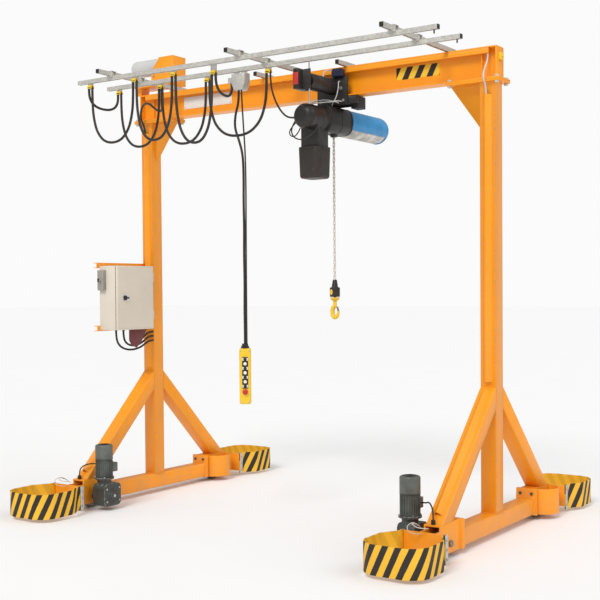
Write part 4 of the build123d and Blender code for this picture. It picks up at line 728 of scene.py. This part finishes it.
class CRANE_OT_frame(bpy.types.Operator):
    """Dress the welded steel frame: tubes, columns, braces, beam, wheel blocks"""

    bl_idname = "crane.frame"
    bl_label = "Steel frame"

    def execute(self, context):
        sizes = context.scene.crane_sizes
        for node in ("base_tubes", "columns", "braces"):
            dress(node, "paint", sizes.plate_edge, 1, sizes.tube_edge, 0.55)
        for node in ("wheel_blocks", "runway_beam", "reel_bracket", "cable_ducts", "cabinet_channels"):
            dress(node, "paint", sizes.plate_edge)
        dress("axle_guards", "paint", 0.0012)
        for node in ("head_bolts", "flange_bolts"):
            dress(node, "gear" if node == "flange_bolts" else "zinc", 0.0012)
        self.welds()
        return {"FINISHED"}

    def welds(self):
        """Fillet welds where the tubes meet."""
        bm = bmesh.new()
        for portal in PORTALS:
            for end in ENDS:
                face = end * HALF_TUBE
                for side in ENDS:
                    x = portal + side * WELD_HALF
                    bar(bm, (x, face, 0.905), (x, face, 1.040), WELD, sides=8)
                    bar(bm, (x, end * 0.728, BLOCK_TOP), (x, end * 0.860, BLOCK_TOP), WELD, sides=8)
                lines = ((0.050, face, 1.050), (0.050, end * 0.873, BLOCK_TOP), (WELD_HALF, face, BASE_TOP))
                for half, y, z in lines:
                    bar(bm, (portal - half, y, z), (portal + half, y, z), WELD, sides=8)
            for side in ENDS:
                x = portal + side * HALF_TUBE
                bar(bm, (x, -WELD_HALF, BASE_TOP), (x, WELD_HALF, BASE_TOP), WELD, sides=8)
                bar(bm, (x, -WELD_HALF, 3.164), (x, WELD_HALF, 3.164), 0.004, sides=8)
        put("frame_welds", bm, "weld", FRAME_BODY)


class CRANE_OT_bumpers(bpy.types.Operator):
    """Stripe the bumper bands and bolt their clamp strips"""

    bl_idname = "crane.bumpers"
    bl_label = "Bumpers"

    def execute(self, context):
        bm = bmesh.new()
        bm.from_mesh(frame["nodes"]["bumper_bands"].data)
        bmesh.ops.remove_doubles(bm, verts=bm.verts, dist=0.00002)
        along = bm.verts.layers.float.new("along")
        for vert in bm.verts:
            vert[along] = self.run(vert.co)
        soften(bm, 0.0015, 1, 60)
        for vert in bm.verts:
            vert[along] = self.run(vert.co)
        inner = bm.faces.layers.float.new("inner")
        for face in bm.faces:
            face[inner] = self.faces_in(face)
        mesh = bpy.data.meshes.new("bumper_stripes")
        bm.to_mesh(mesh)
        bm.free()
        piece = show("bumper_stripes", mesh, "stripes", FRAME_BODY)
        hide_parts("bumper_bands")
        dress("clamp_strips", "zinc", 0.001)
        self.bolts()
        return {"FINISHED"}

    def faces_in(self, face):
        """1 for a face that looks into the loop."""
        place = face.calc_center_median()
        portal = PORTALS[0] if place.x < 0 else PORTALS[1]
        middle = Vector((portal, 1.26 if place.y > 0 else -1.26, place.z))
        return 1.0 if face.normal.dot(middle - place) > 0 else 0.0

    def run(self, place):
        """Distance round a band from the middle of its front, growing to the right of one who faces it."""
        portal = PORTALS[0] if place.x < 0 else PORTALS[1]
        end = -1 if place.y < 0 else 1
        x = -end * (place.x - portal)
        y = abs(place.y)
        side = 1 if x > 0 else -1
        corner_x, corner_y, radius = 0.085, 1.340, 0.136
        if y > corner_y and abs(x) > corner_x:
            turn = Vector((abs(x) - corner_x, y - corner_y)).angle_signed(Vector((0, 1)))
            return side * (corner_x + abs(turn) * radius)
        if y > corner_y:
            return x
        return side * (corner_x + radius * pi / 2 + corner_y - y)

    def bolts(self):
        bm = bmesh.new()
        for portal in PORTALS:
            for end in ENDS:
                for side in ENDS:
                    for z in (0.060, 0.121, 0.182):
                        face = portal + side * 0.161
                        bar(bm, (face, end * 1.015, z), (face + side * 0.006, end * 1.015, z), 0.009, sides=6)
        soften(bm, 0.0008, 1)
        put("strip_bolts", bm, "steel", FRAME_BODY)


class CRANE_OT_wheels(bpy.types.Operator):
    """Dress the four travel wheels"""

    bl_idname = "crane.wheels"
    bl_label = "Wheels"

    def execute(self, context):
        for side in ("left", "right"):
            for end in ("near", "far"):
                node = f"{side}_{end}_wheel"
                dress(node, "wheel", 0.0012)
                self.hub_bolts(node, PORTALS[side == "right"], WHEEL_Y if end == "far" else -WHEEL_Y)
        return {"FINISHED"}

    def hub_bolts(self, node, portal, y):
        """Bolt heads round the hub, inside the rim's step."""
        bm = bmesh.new()
        for side in ENDS:
            for index in range(6):
                turn = index * pi / 3
                place = (portal + side * 0.019, y + 0.056 * cos(turn), WHEEL_Z + 0.056 * sin(turn))
                bar(bm, place, (place[0] + side * 0.006, place[1], place[2]), 0.008, sides=6)
        soften(bm, 0.0008, 1)
        put(node + "_bolts", bm, "steel", node)


class CRANE_OT_drives(bpy.types.Operator):
    """Dress the two travel drives, with fins, cowl and bolts"""

    bl_idname = "crane.drives"
    bl_label = "Travel drives"

    def execute(self, context):
        dress("travel_gearboxes", "gear", 0.004)
        self.motors()
        dress("terminal_boxes", "drive", 0.004)
        dress("cable_glands", "plastic", 0.001)
        bm = bmesh.new()
        cowl = bmesh.new()
        bolts = bmesh.new()
        hubs = bmesh.new()
        for portal, side in zip(PORTALS, ENDS):
            middle = Vector((portal - side * 0.205, MOTOR_Y, 0))
            self.fins(bm, middle, context.scene.crane_sizes.fins)
            self.cowl(cowl, middle)
            self.bolts(bolts, middle, portal, side)
            self.hub(hubs, portal, side)
        put("motor_fins", bm, "drive", FRAME_BODY)
        put("cowl_grilles", cowl, "plastic", FRAME_BODY)
        put("drive_bolts", bolts, "steel", FRAME_BODY)
        put("drive_hubs", hubs, "gear", FRAME_BODY)
        return {"FINISHED"}

    def motors(self):
        """Motors with a well-rounded fan cowl on top."""
        bm = joined("travel_motors")
        soften(bm, 0.014, 4, pick=lambda edge: min(vert.co.z for vert in edge.verts) > 0.515)
        soften(bm, 0.0015, pick=lambda edge: max(vert.co.z for vert in edge.verts) < 0.500)
        mesh = bpy.data.meshes.new("rounded_motors")
        bm.to_mesh(mesh)
        bm.free()
        piece = show("rounded_motors", mesh, "drive", FRAME_BODY)
        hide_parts("travel_motors")

    def fins(self, bm, middle, count):
        for index in range(count):
            turn = 2 * pi * index / count
            if abs(turn - pi / 2) < 0.72:
                continue
            verts = slab(bm, (0.056, -0.0016, 0.272), (0.068, 0.0016, 0.400))
            bmesh.ops.rotate(bm, verts=verts, cent=(0, 0, 0), matrix=Matrix.Rotation(turn, 3, "Z"))
            bmesh.ops.translate(bm, verts=verts, vec=middle)

    def cowl(self, bm, middle):
        """Rings and spokes of the fan grille, and the cowl's seam."""
        for radius in (0.014, 0.026, 0.038, 0.050):
            hoop(bm, middle + Vector((0, 0, GRILLE_Z)), (0, 0, 1), radius, 0.0022, 32, 6)
        for index in range(4):
            turn = pi / 4 + index * pi / 2
            tip = middle + Vector((0.052 * cos(turn), 0.052 * sin(turn), GRILLE_Z))
            bar(bm, middle + Vector((0, 0, GRILLE_Z)), tip, 0.0022, sides=6)
        hoop(bm, middle + Vector((0, 0, 0.409)), (0, 0, 1), 0.0688, 0.002, 40, 6)

    def bolts(self, bm, middle, portal, side):
        for index in range(4):
            turn = pi / 4 + index * pi / 2
            head = middle + Vector((0.070 * cos(turn), 0.070 * sin(turn), 0.266))
            bar(bm, head, head + Vector((0, 0, 0.006)), 0.0065, sides=6)
        face = portal - side * GEAR_FACE
        bar(bm, (face - side * 0.012, GEAR_Y, GEAR_Z), (face - side * 0.022, GEAR_Y, GEAR_Z), 0.013, sides=6)
        for y in (-0.860, -0.722):
            for z in (0.075, 0.175):
                bar(bm, (face, y, z), (face - side * 0.006, y, z), 0.008, sides=6)
        for x in (-0.026, 0.026):
            for z in (0.311, 0.361):
                lid = (middle.x + x, -0.706, z)
                bar(bm, lid, (lid[0], -0.703, z), 0.004, sides=10)

    def hub(self, bm, portal, side):
        """Ringed cap over the gearbox's output shaft."""
        face = portal - side * GEAR_FACE
        bar(bm, (face, GEAR_Y, GEAR_Z), (face - side * 0.006, GEAR_Y, GEAR_Z), 0.056, 0.053, 40)
        rise = face - side * 0.006
        bar(bm, (rise, GEAR_Y, GEAR_Z), (face - side * 0.012, GEAR_Y, GEAR_Z), 0.034, 0.031, 40)
        for index in range(8):
            turn = index * pi / 4
            place = (rise, GEAR_Y + 0.044 * cos(turn), GEAR_Z + 0.044 * sin(turn))
            bar(bm, place, (place[0] - side * 0.004, place[1], place[2]), 0.005, sides=6)


class CRANE_OT_beam_fittings(bpy.types.Operator):
    """Pale plate with rivets, hazard panel, end lug and the reel on the beam"""

    bl_idname = "crane.beam_fittings"
    bl_label = "Beam fittings"

    def execute(self, context):
        dress("beam_plate", "pale", 0.0005)
        dress("reel_drum", "drum", 0.002)
        bm = bmesh.new()
        slab(bm, (0.835, -0.0047, 3.268), (1.188, -0.0035, 3.356))
        put("hazard_panel", bm, "hazard", FRAME_BODY)
        self.rivets()
        self.reel()
        self.end_lug()
        return {"FINISHED"}

    def rivets(self):
        bm = bmesh.new()
        for x in (-1.193, -0.710):
            for z in (3.270, 3.344):
                bar(bm, (x, -0.0055, z), (x, -0.0075, z), 0.005, 0.003, 12)
        put("plate_rivets", bm, "steel", FRAME_BODY)

    def end_lug(self):
        """Small lug with a bolt on the beam's right end."""
        bm = bmesh.new()
        slab(bm, (1.652, -0.022, 3.318), (1.672, 0.022, 3.368))
        bar(bm, (1.672, 0, 3.343), (1.680, 0, 3.343), 0.011, sides=6)
        soften(bm, 0.002, 2)
        put("end_lug", bm, "control", FRAME_BODY)

    def reel(self):
        """Ribs round the drum, bolts of the bracket."""
        bm = bmesh.new()
        for x in (-1.452, -1.540, -1.640):
            hoop(bm, (x, 0.025, 3.655), (1, 0, 0), 0.0675, 0.004, 40, 8)
        put("drum_ribs", bm, "drum", FRAME_BODY)
        bm = bmesh.new()
        for x in (-1.665, -1.301):
            for y in (-0.070, 0.080):
                bar(bm, (x, y, 3.482), (x, y, 3.492), 0.011, sides=6)
        for x in (-1.495, -1.310):
            bar(bm, (x, -0.060, 3.560), (x, -0.066, 3.560), 0.009, sides=6)
        soften(bm, 0.001, 1)
        put("bracket_bolts", bm, "steel", FRAME_BODY)


class CRANE_OT_festoon(bpy.types.Operator):
    """Dress the festoon rails, arms, saddles and their carriages"""

    bl_idname = "crane.festoon"
    bl_label = "Festoon"

    def execute(self, context):
        dress("festoon_rails", "zinc", 0.0008, 1)
        dress("festoon_arms", "zinc", 0.0008, 1)
        dress("arm_caps", "plastic", 0.002)
        dress("cable_carriages", "steel", 0.001)
        low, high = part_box("festoon_rails")
        end, floor, roof = high[0], low[2], high[2]
        bends = bmesh.new()
        grips = bmesh.new()
        clips = bmesh.new()
        for _, y, saddles, _ in FESTOON:
            for x, z in saddles:
                turns = [index * pi / 12 for index in range(13)]
                arch = [
                    Vector((x - SADDLE_BEND * cos(turn), y, z + SADDLE_BEND * sin(turn))) for turn in turns]
                tube(bends, arch, [0.010] * len(arch))
                slab(grips, (x - 0.019, y - GRIP_HALF, z + 0.002), (x + 0.019, y + GRIP_HALF, z + 0.0305))
                slab(grips, (x - 0.024, y - GRIP_HALF, z + 0.004), (x + 0.024, y - 0.0125, z + 0.016))
                slab(grips, (x - 0.024, y + 0.0125, z + 0.004), (x + 0.024, y + GRIP_HALF, z + 0.016))
            for x in (-1.243, 0.010, 1.275):
                left, right = x - CLIP_HALF, x + CLIP_HALF
                slab(clips, (left, y - CLIP_SIDE, 3.405), (right, y - GRIP_HALF, 3.4435))
                slab(clips, (left, y + GRIP_HALF, 3.405), (right, y + CLIP_SIDE, 3.4435))
                slab(clips, (left, y - CLIP_SIDE, 3.4445), (right, y + CLIP_SIDE, 3.4485))
                bar(clips, (x, y, 3.4485), (x, y, 3.4575), 0.009, sides=6)
            slab(bends, (end - 0.001, y - 0.0148, floor + 0.001), (end + 0.005, y + 0.0148, roof - 0.001))
            bar(bends, (end - 0.028, y, floor + 0.001), (end - 0.028, y, floor - 0.024), 0.005, sides=10)
        soften(grips, 0.003, 2)
        soften(clips, 0.001, 1)
        piece = put("saddle_bends", bends, "rubber", FRAME_BODY, 60)
        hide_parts("cable_saddles")
        piece = put("saddle_grips", grips, "control", FRAME_BODY)
        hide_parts("cable_saddles")
        put("rail_clips", clips, "zinc", FRAME_BODY)
        return {"FINISHED"}


class CRANE_OT_pendant(bpy.types.Operator):
    """Dress the pendant trolley, control box and buttons"""

    bl_idname = "crane.pendant"
    bl_label = "Pendant"

    def execute(self, context):
        dress("pendant_trolley", "zinc", 0.003)
        dress("pendant_box", "control", 0.013, 4)
        dark = bmesh.new()
        pale = bmesh.new()
        slab(dark, (-0.022, -0.036, PANEL_LOW), (0.022, -0.031, PANEL_HIGH))
        pitch = (PANEL_HIGH - PANEL_LOW) / BUTTONS
        for row in range(BUTTONS):
            z = PANEL_LOW + (row + 0.5) * pitch
            button = pale if row % 2 else dark
            if button is dark:
                slab(pale, (-0.0215, -0.0375, z - 0.010), (0.0215, -0.0355, z + 0.010))
            bar(button, (0, -0.035, z), (0, -0.043, z), 0.0125)
            bar(button, (0, -0.043, z), (0, -0.0465, z), 0.0125, 0.009)
        bar(dark, (0, 0, 1.302), (0, 0, 1.316), 0.0315)
        bar(dark, (0, 0, 1.316), (0, 0, 1.336), 0.0245, 0.0225)
        stop = bmesh.new()
        bar(stop, (0, -0.031, STOP_Z), (0, -0.042, STOP_Z), 0.012)
        bar(stop, (0, -0.042, STOP_Z), (0, -0.052, STOP_Z), 0.0205)
        bar(stop, (0, -0.052, STOP_Z), (0, -0.056, STOP_Z), 0.0205, 0.013)
        screws = bmesh.new()
        for x in (-0.033, 0.033):
            for z in (0.902, 1.280):
                bar(screws, (x, -0.031, z), (x, -0.0335, z), 0.004, sides=12)
        for name, bm, finish, slot in (
            ("pendant_dark", dark, "plastic", "black_plastic"),
            ("pendant_pale", pale, "white", "black_plastic"),
            ("stop_button", stop, "red", "red_panel"),
            ("pendant_screws", screws, "steel", "zinc_steel"),
        ):
            soften(bm, 0.0006, 1)
            bmesh.ops.rotate(bm, verts=bm.verts, cent=(0, 0, 0), matrix=Matrix.Rotation(radians(35), 3, "Z"))
            bmesh.ops.translate(bm, verts=bm.verts, vec=(-0.190, PENDANT_Y, 0))
            piece = put(name, bm, finish, FRAME_BODY)
            if finish != "steel":
                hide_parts("pendant_buttons")
        return {"FINISHED"}


class CRANE_OT_cabinet(bpy.types.Operator):
    """Dress the switch cabinet, its door, isolator and glands"""

    bl_idname = "crane.cabinet"
    bl_label = "Switch cabinet"

    def execute(self, context):
        dress("cabinet_box", "cabinet", 0.0012)
        dress("cabinet_door", "cabinet", 0.003)
        dress("mains_isolator", "isolator", 0.003)
        dress("cabinet_flap", "flap", 0.001)
        bm = bmesh.new()
        for (x, y, z), *_ in CABINET_ROUTES:
            bar(bm, (x, y, z + 0.001), (x, y, z - 0.010), 0.013, sides=6)
            bar(bm, (x, y, z - 0.010), (x, y, z - 0.026), 0.010, 0.0075)
        soften(bm, 0.0008, 1)
        put("cabinet_glands", bm, "plastic", FRAME_BODY)
        self.door_fittings()
        self.isolator_handle()
        self.inside()
        return {"FINISHED"}

    def door_fittings(self):
        """Raised field of the door, keyed lock and seal."""
        bm = bmesh.new()
        slab(bm, (DOOR_FACE - 0.002, -0.585, 1.436), (DOOR_FACE, -0.185, 1.929))
        soften(bm, 0.0009, 1)
        put("door_field", bm, "cabinet", "door")
        bm = bmesh.new()
        slab(bm, (DOOR_FACE, -0.536, 1.6635), (-1.4080, -0.504, 1.7015))
        slab(bm, (-1.4170, -0.506, 1.6755), (-1.4100, -0.474, 1.6895))
        soften(bm, 0.003, 2)
        put("door_lock", bm, "plastic", "door")
        bm = bmesh.new()
        slab(bm, (-1.4218, -0.542, 1.6565), (-1.4202, -0.470, 1.7085))
        soften(bm, 0.0005, 1)
        put("lock_plate", bm, "white", "door")
        bm = bmesh.new()
        for y in (-0.590, -0.182):
            slab(bm, (SEAL_X[0], y, 1.430), (SEAL_X[1], y + SEAL, 1.935))
        for z in (1.430, 1.923):
            slab(bm, (SEAL_X[0], -0.590, z), (SEAL_X[1], -0.170, z + SEAL))
        put("door_seal", bm, "rubber", "door")

    def isolator_handle(self):
        """Handle across the isolator's knob."""
        bm = bmesh.new()
        slab(bm, (-1.5885, -0.664, 1.813), (-1.5775, -0.650, 1.842))
        soften(bm, 0.003, 2)
        put("isolator_handle", bm, "plastic", FRAME_BODY)

    def inside(self):
        """Mounting plate with rails and switchgear, seen when the door is open."""
        plate = bmesh.new()
        slab(plate, (-1.612, -0.570, 1.450), (-1.609, -0.200, 1.915))
        for z in (1.560, 1.700, 1.840):
            slab(plate, (-1.609, -0.550, z - 0.017), (-1.602, -0.220, z + 0.017))
        put("switchgear_plate", plate, "zinc", FRAME_BODY)
        gear = bmesh.new()
        for z, count, height in ((1.560, 9, 0.030), (1.700, 5, 0.042), (1.840, 7, 0.038)):
            pitch = 0.320 / count
            for index in range(count):
                low = -0.545 + index * pitch
                slab(gear, (-1.602, low, z - height), (-1.540, low + 0.9 * pitch, z + height))
                slab(gear, (-1.540, low + 0.2 * pitch, z - 0.4 * height),
                     (-1.530, low + 0.7 * pitch, z + 0.4 * height))
        soften(gear, 0.0012, 1)
        put("switchgear", gear, "plastic", FRAME_BODY)


class CRANE_OT_hoist(bpy.types.Operator):
    """Dress the hoist trolley and the chain hoist under it"""

    bl_idname = "crane.hoist"
    bl_label = "Trolley and hoist"

    def execute(self, context):
        for node, finish, width in (
            ("trolley_frame", "plastic", 0.0015), ("trolley_wheels", "wheel", 0.002),
            ("limit_switch", "plastic", 0.004), ("trolley_drive", "plastic", 0.003),
            ("drive_cover", "red", 0.001), ("drive_cap", "deep_blue", 0.003), ("tow_rods", "steel", 0.001),
            ("hoist_housing", "plastic", 0.004), ("hoist_motor", "silver", 0.003),
            ("hoist_cover", "cover", 0.002),
        ):
            dress(node, finish, width)
        self.bag()
        self.motor_fins()
        self.housing_detail()
        self.trolley_detail()
        return {"FINISHED"}

    def bag(self):
        """Chain bucket: a hollow moulded shell with a rim."""
        bm = joined("chain_bag")
        top = max(bm.faces, key=lambda face: face.calc_center_median().z)
        bmesh.ops.inset_region(bm, faces=[top], thickness=0.007)
        bmesh.ops.translate(bm, verts=list(top.verts), vec=(0, 0, -0.110))
        floor = min(vert.co.z for vert in bm.verts) + 0.005
        soften(bm, 0.020, 4, 50, lambda edge: max(vert.co.z for vert in edge.verts) < floor)
        soften(bm, 0.002, 2, 50, lambda edge: min(vert.co.z for vert in edge.verts) > floor + 0.030)
        piece = put("chain_bucket", bm, "bag", TROLLEY)
        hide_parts("chain_bag")
        low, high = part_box("chain_bag")
        rim = bmesh.new()
        for x in (low[0], high[0]):
            side = -1 if x == low[0] else 1
            slab(rim, (x - 0.004 + side * 0.002, low[1] + 0.055, high[2] - 0.022),
                 (x + 0.004 + side * 0.002, high[1] - 0.055, high[2] - 0.002))
        for y in (low[1], high[1]):
            side = -1 if y == low[1] else 1
            slab(rim, (low[0] + 0.055, y - 0.004 + side * 0.002, high[2] - 0.022),
                 (high[0] - 0.055, y + 0.004 + side * 0.002, high[2] - 0.002))
        soften(rim, 0.002, 1)
        put("bucket_rim", rim, "bag", TROLLEY)

    def motor_fins(self):
        """Cooling fins along the silver motor, below the cover's edges."""
        bm = bmesh.new()
        for index in range(15):
            turn = radians(-142 + index * 104 / 14)
            verts = slab(bm, (0.094, 0.130, -0.0018), (0.104, 0.600, 0.0018))
            bmesh.ops.rotate(bm, verts=verts, cent=(0, 0, 0), matrix=Matrix.Rotation(-turn, 3, "Y"))
            bmesh.ops.translate(bm, verts=verts, vec=(HOIST_X, 0, HOIST_Z))
        soften(bm, 0.0006, 1)
        put("hoist_fins", bm, "silver", TROLLEY)

    def housing_detail(self):
        """Seams of the housing, rings round its bulge, chain guide below it."""
        bm = bmesh.new()
        for y in (-0.176, -0.035, 0.100):
            low = (HOIST_X - SEAM_HALF, y - 0.003, HOIST_Z - SEAM_HALF)
            ring = slab(bm, low, (HOIST_X + SEAM_HALF, y + 0.003, HOIST_Z + SEAM_HALF))
            along = [edge for edge in edges_of(ring) if abs((edge.verts[0].co - edge.verts[1].co).y) > 0.004]
            bmesh.ops.bevel(
                bm, geom=along, offset=0.063, offset_type="OFFSET", affect="EDGES", segments=8,
                profile=0.5, clamp_overlap=False, material=-1)
        for y in (-0.260, -0.345):
            hoop(bm, (HOIST_X, y, BULGE_Z), (0, 1, 0), 0.0915, 0.0025, 40, 6)
        bar(bm, (CHAIN_X, 0, 2.919), (CHAIN_X, 0, 2.900), 0.034, 0.024, 28)
        put("housing_ribs", bm, "plastic", TROLLEY)

    def trolley_detail(self):
        """Wheel bolts on the side plates and the drive's bands."""
        bm = bmesh.new()
        for side in ENDS:
            for x in (0.244, 0.400):
                bar(bm, (x, side * 0.079, 3.249), (x, side * 0.088, 3.249), 0.015, sides=6)
            for x in (0.222, 0.422):
                bar(bm, (x, side * 0.079, 3.158), (x, side * 0.087, 3.158), 0.011, sides=6)
        soften(bm, 0.0012, 1)
        put("trolley_bolts", bm, "steel", TROLLEY)
        bm = bmesh.new()
        for index in range(9):
            hoop(bm, (0.322, -0.130 - index * 0.030, 3.262), (0, 1, 0), 0.0565, 0.004, 32, 6)
        put("drive_bands", bm, "plastic", TROLLEY)


class CRANE_OT_chain(bpy.types.Operator):
    """Link the load chain and shape the hook"""

    bl_idname = "crane.chain"
    bl_label = "Chain and hook"

    def execute(self, context):
        sizes = context.scene.crane_sizes
        low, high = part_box("load_chain")
        bm = bmesh.new()
        count = round((high[2] - low[2]) / sizes.link_pitch)
        pitch = (high[2] - low[2]) / count
        wire = sizes.link_wire / 2
        for index in range(count):
            axis = (1, 0, 0) if index % 2 else (0, 1, 0)
            middle = Vector((CHAIN_X, 0, low[2] + (index + 0.5) * pitch))
            before = set(bm.verts)
            hoop(bm, middle, axis, LINK_BEND, wire, 12, 8)
            link = [vert for vert in bm.verts if vert not in before]
            reach = pitch / 2 + wire - LINK_BEND
            for side in ENDS:
                half = [vert for vert in link if (vert.co.z - middle.z) * side > 0.0005]
                bmesh.ops.translate(bm, verts=half, vec=(0, 0, side * reach))
        piece = put("chain_links", bm, "chain", None, 60)
        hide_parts("load_chain")
        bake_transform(piece)
        dress("hook_sleeve", "plastic", 0.005, 3)
        dress("hook_latch", "wheel", 0.001)
        self.hook()
        return {"FINISHED"}

    def hook(self):
        """Forged hook: swivel cap, shank and a bowl that thins to its tip."""
        bm = bmesh.new()
        for low, high, radius, end_radius, sides in (
            (1.660, 1.677, 0.031, 0.0375, 40), (1.646, 1.660, 0.014, 0.031, 40),
            (1.677, 1.729, 0.0115, 0.0115, 24), (1.602, 1.646, 0.0150, 0.0140, 24),
        ):
            bar(bm, (CHAIN_X, 0, low), (CHAIN_X, 0, high), radius, end_radius, sides)
        soften(bm, 0.003, 2)
        points = []
        for index in range(29):
            turn = radians(88 + index * 10)
            reach = 0.023 if cos(turn) < 0 else 0.031
            points.append(Vector((CHAIN_X + reach * cos(turn), 0, BOWL_Z + 0.0425 * sin(turn))))
        radii = [0.0150] * 4 + [0.0172] * 14 + [0.0168 - 0.0008 * index for index in range(11)]
        tube(bm, points, radii, 16)
        piece = put("forged_hook", bm, "control", "swivel_hook", 50)
        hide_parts("hook")
        bm = bmesh.new()
        patch = bar(bm, (0.2741, -0.0350, PATCH_Z), (0.2730, -0.0400, PATCH_Z), 0.013, 0.012, 28)
        bmesh.ops.scale(bm, verts=patch, vec=(1, 1, 1.8), space=Matrix.Translation((0, 0, -PATCH_Z)))
        soften(bm, 0.0008, 1)
        put("sleeve_patch", bm, "control", "hook_carrier")


class CRANE_OT_stage(bpy.types.Operator):
    """Set the floor, the lamps and the camera"""

    bl_idname = "crane.stage"
    bl_label = "Stage"

    def execute(self, context):
        self.floor()
        self.lamps(context)
        self.camera(context)
        return {"FINISHED"}

    def floor(self):
        """Wide flat floor."""
        bm = bmesh.new()
        bmesh.ops.create_grid(bm, x_segments=1, y_segments=1, size=90)
        mesh = settle("floor", bm)
        floor = bpy.data.objects.new("floor", mesh)
        mesh.materials.append(floor_grey("floor_pale", (0.885, 0.885, 0.885)))
        bpy.context.scene.collection.objects.link(floor)

    def lamps(self, context):
        sizes = context.scene.crane_sizes
        world = bpy.data.worlds.new("studio")
        context.scene.world = world
        world.use_nodes = True
        tree = world.node_tree
        back = tree.nodes["Background"]
        path = tree.nodes.new("ShaderNodeLightPath")
        seen = Signal(tree, path.outputs["Is Camera Ray"])
        glossy = Signal(tree, path.outputs["Is Glossy Ray"])
        strength = 0.62 + 0.345 * seen - 0.20 * glossy
        back.inputs["Color"].default_value = (1, 1, 1, 1)
        tree.links.new(strength.socket, back.inputs["Strength"])
        self.sun("key", sizes.key_light, (48, 0, 10), 24)
        self.sun("fill", 0.68, (55, 0, 95), 50)

    def sun(self, name, strength, turn, softness):
        lamp = bpy.data.lights.new(name, "SUN")
        lamp.energy = strength
        lamp.angle = radians(softness)
        holder = bpy.data.objects.new(name, lamp)
        holder.rotation_euler = [radians(part) for part in turn]
        bpy.context.scene.collection.objects.link(holder)

    def camera(self, context):
        """Camera worked out from the photo's own vanishing points."""
        yaw, pitch, roll = radians(34.3), radians(1.473), radians(-0.444)
        forward = Vector((-sin(yaw) * cos(pitch), cos(yaw) * cos(pitch), -sin(pitch)))
        level = Vector((cos(yaw), sin(yaw), 0))
        upright = level.cross(forward)
        right = cos(roll) * level + sin(roll) * upright
        up = -sin(roll) * level + cos(roll) * upright
        data = bpy.data.cameras.new("photo_view")
        data.lens = 65.46
        data.sensor_width = 36
        data.shift_x = -0.00813
        data.shift_y = 0.02986
        data.clip_end = 200
        camera = bpy.data.objects.new("photo_view", data)
        matrix = Matrix((right, up, -forward)).transposed().to_4x4()
        matrix.translation = (4.80756, -7.04555, 1.73652)
        camera.matrix_world = matrix
        context.scene.collection.objects.link(camera)
        context.scene.camera = camera
        context.scene.view_settings.view_transform = "Standard"


class CRANE_PT_panel(bpy.types.Panel):
    """Lists the crane's pieces in the sidebar"""

    bl_idname = "CRANE_PT_panel"
    bl_label = "Gantry crane"
    bl_space_type = "VIEW_3D"
    bl_region_type = "UI"
    bl_category = "Crane"

    def draw(self, context):
        for operator in OPERATORS:
            self.layout.operator(operator.bl_idname)
        for group in (context.scene.crane_colours, context.scene.crane_sizes):
            for name in group.__annotations__:
                self.layout.prop(group, name)


OPERATORS = (
    CRANE_OT_stage, CRANE_OT_cables, CRANE_OT_frame, CRANE_OT_bumpers, CRANE_OT_wheels, CRANE_OT_drives,
    CRANE_OT_beam_fittings, CRANE_OT_festoon, CRANE_OT_pendant, CRANE_OT_cabinet, CRANE_OT_hoist,
    CRANE_OT_chain,
)
CLASSES = (CraneColours, CraneSizes, *OPERATORS, CRANE_PT_panel)


def register():
    for item in CLASSES:
        bpy.utils.register_class(item)
    bpy.types.Scene.crane_colours = bpy.props.PointerProperty(type=CraneColours)
    bpy.types.Scene.crane_sizes = bpy.props.PointerProperty(type=CraneSizes)


def unregister():
    del bpy.types.Scene.crane_sizes
    del bpy.types.Scene.crane_colours
    for item in reversed(CLASSES):
        bpy.utils.unregister_class(item)


def main():
    """Build the whole crane."""
    register()
    bpy.ops.crane.stage()
    bpy.ops.crane.cables()
    bpy.ops.crane.frame()
    bpy.ops.crane.bumpers()
    bpy.ops.crane.wheels()
    bpy.ops.crane.drives()
    bpy.ops.crane.beam_fittings()
    bpy.ops.crane.festoon()
    bpy.ops.crane.pendant()
    bpy.ops.crane.cabinet()
    bpy.ops.crane.hoist()
    bpy.ops.crane.chain()


if __name__ == "__main__":
    main()
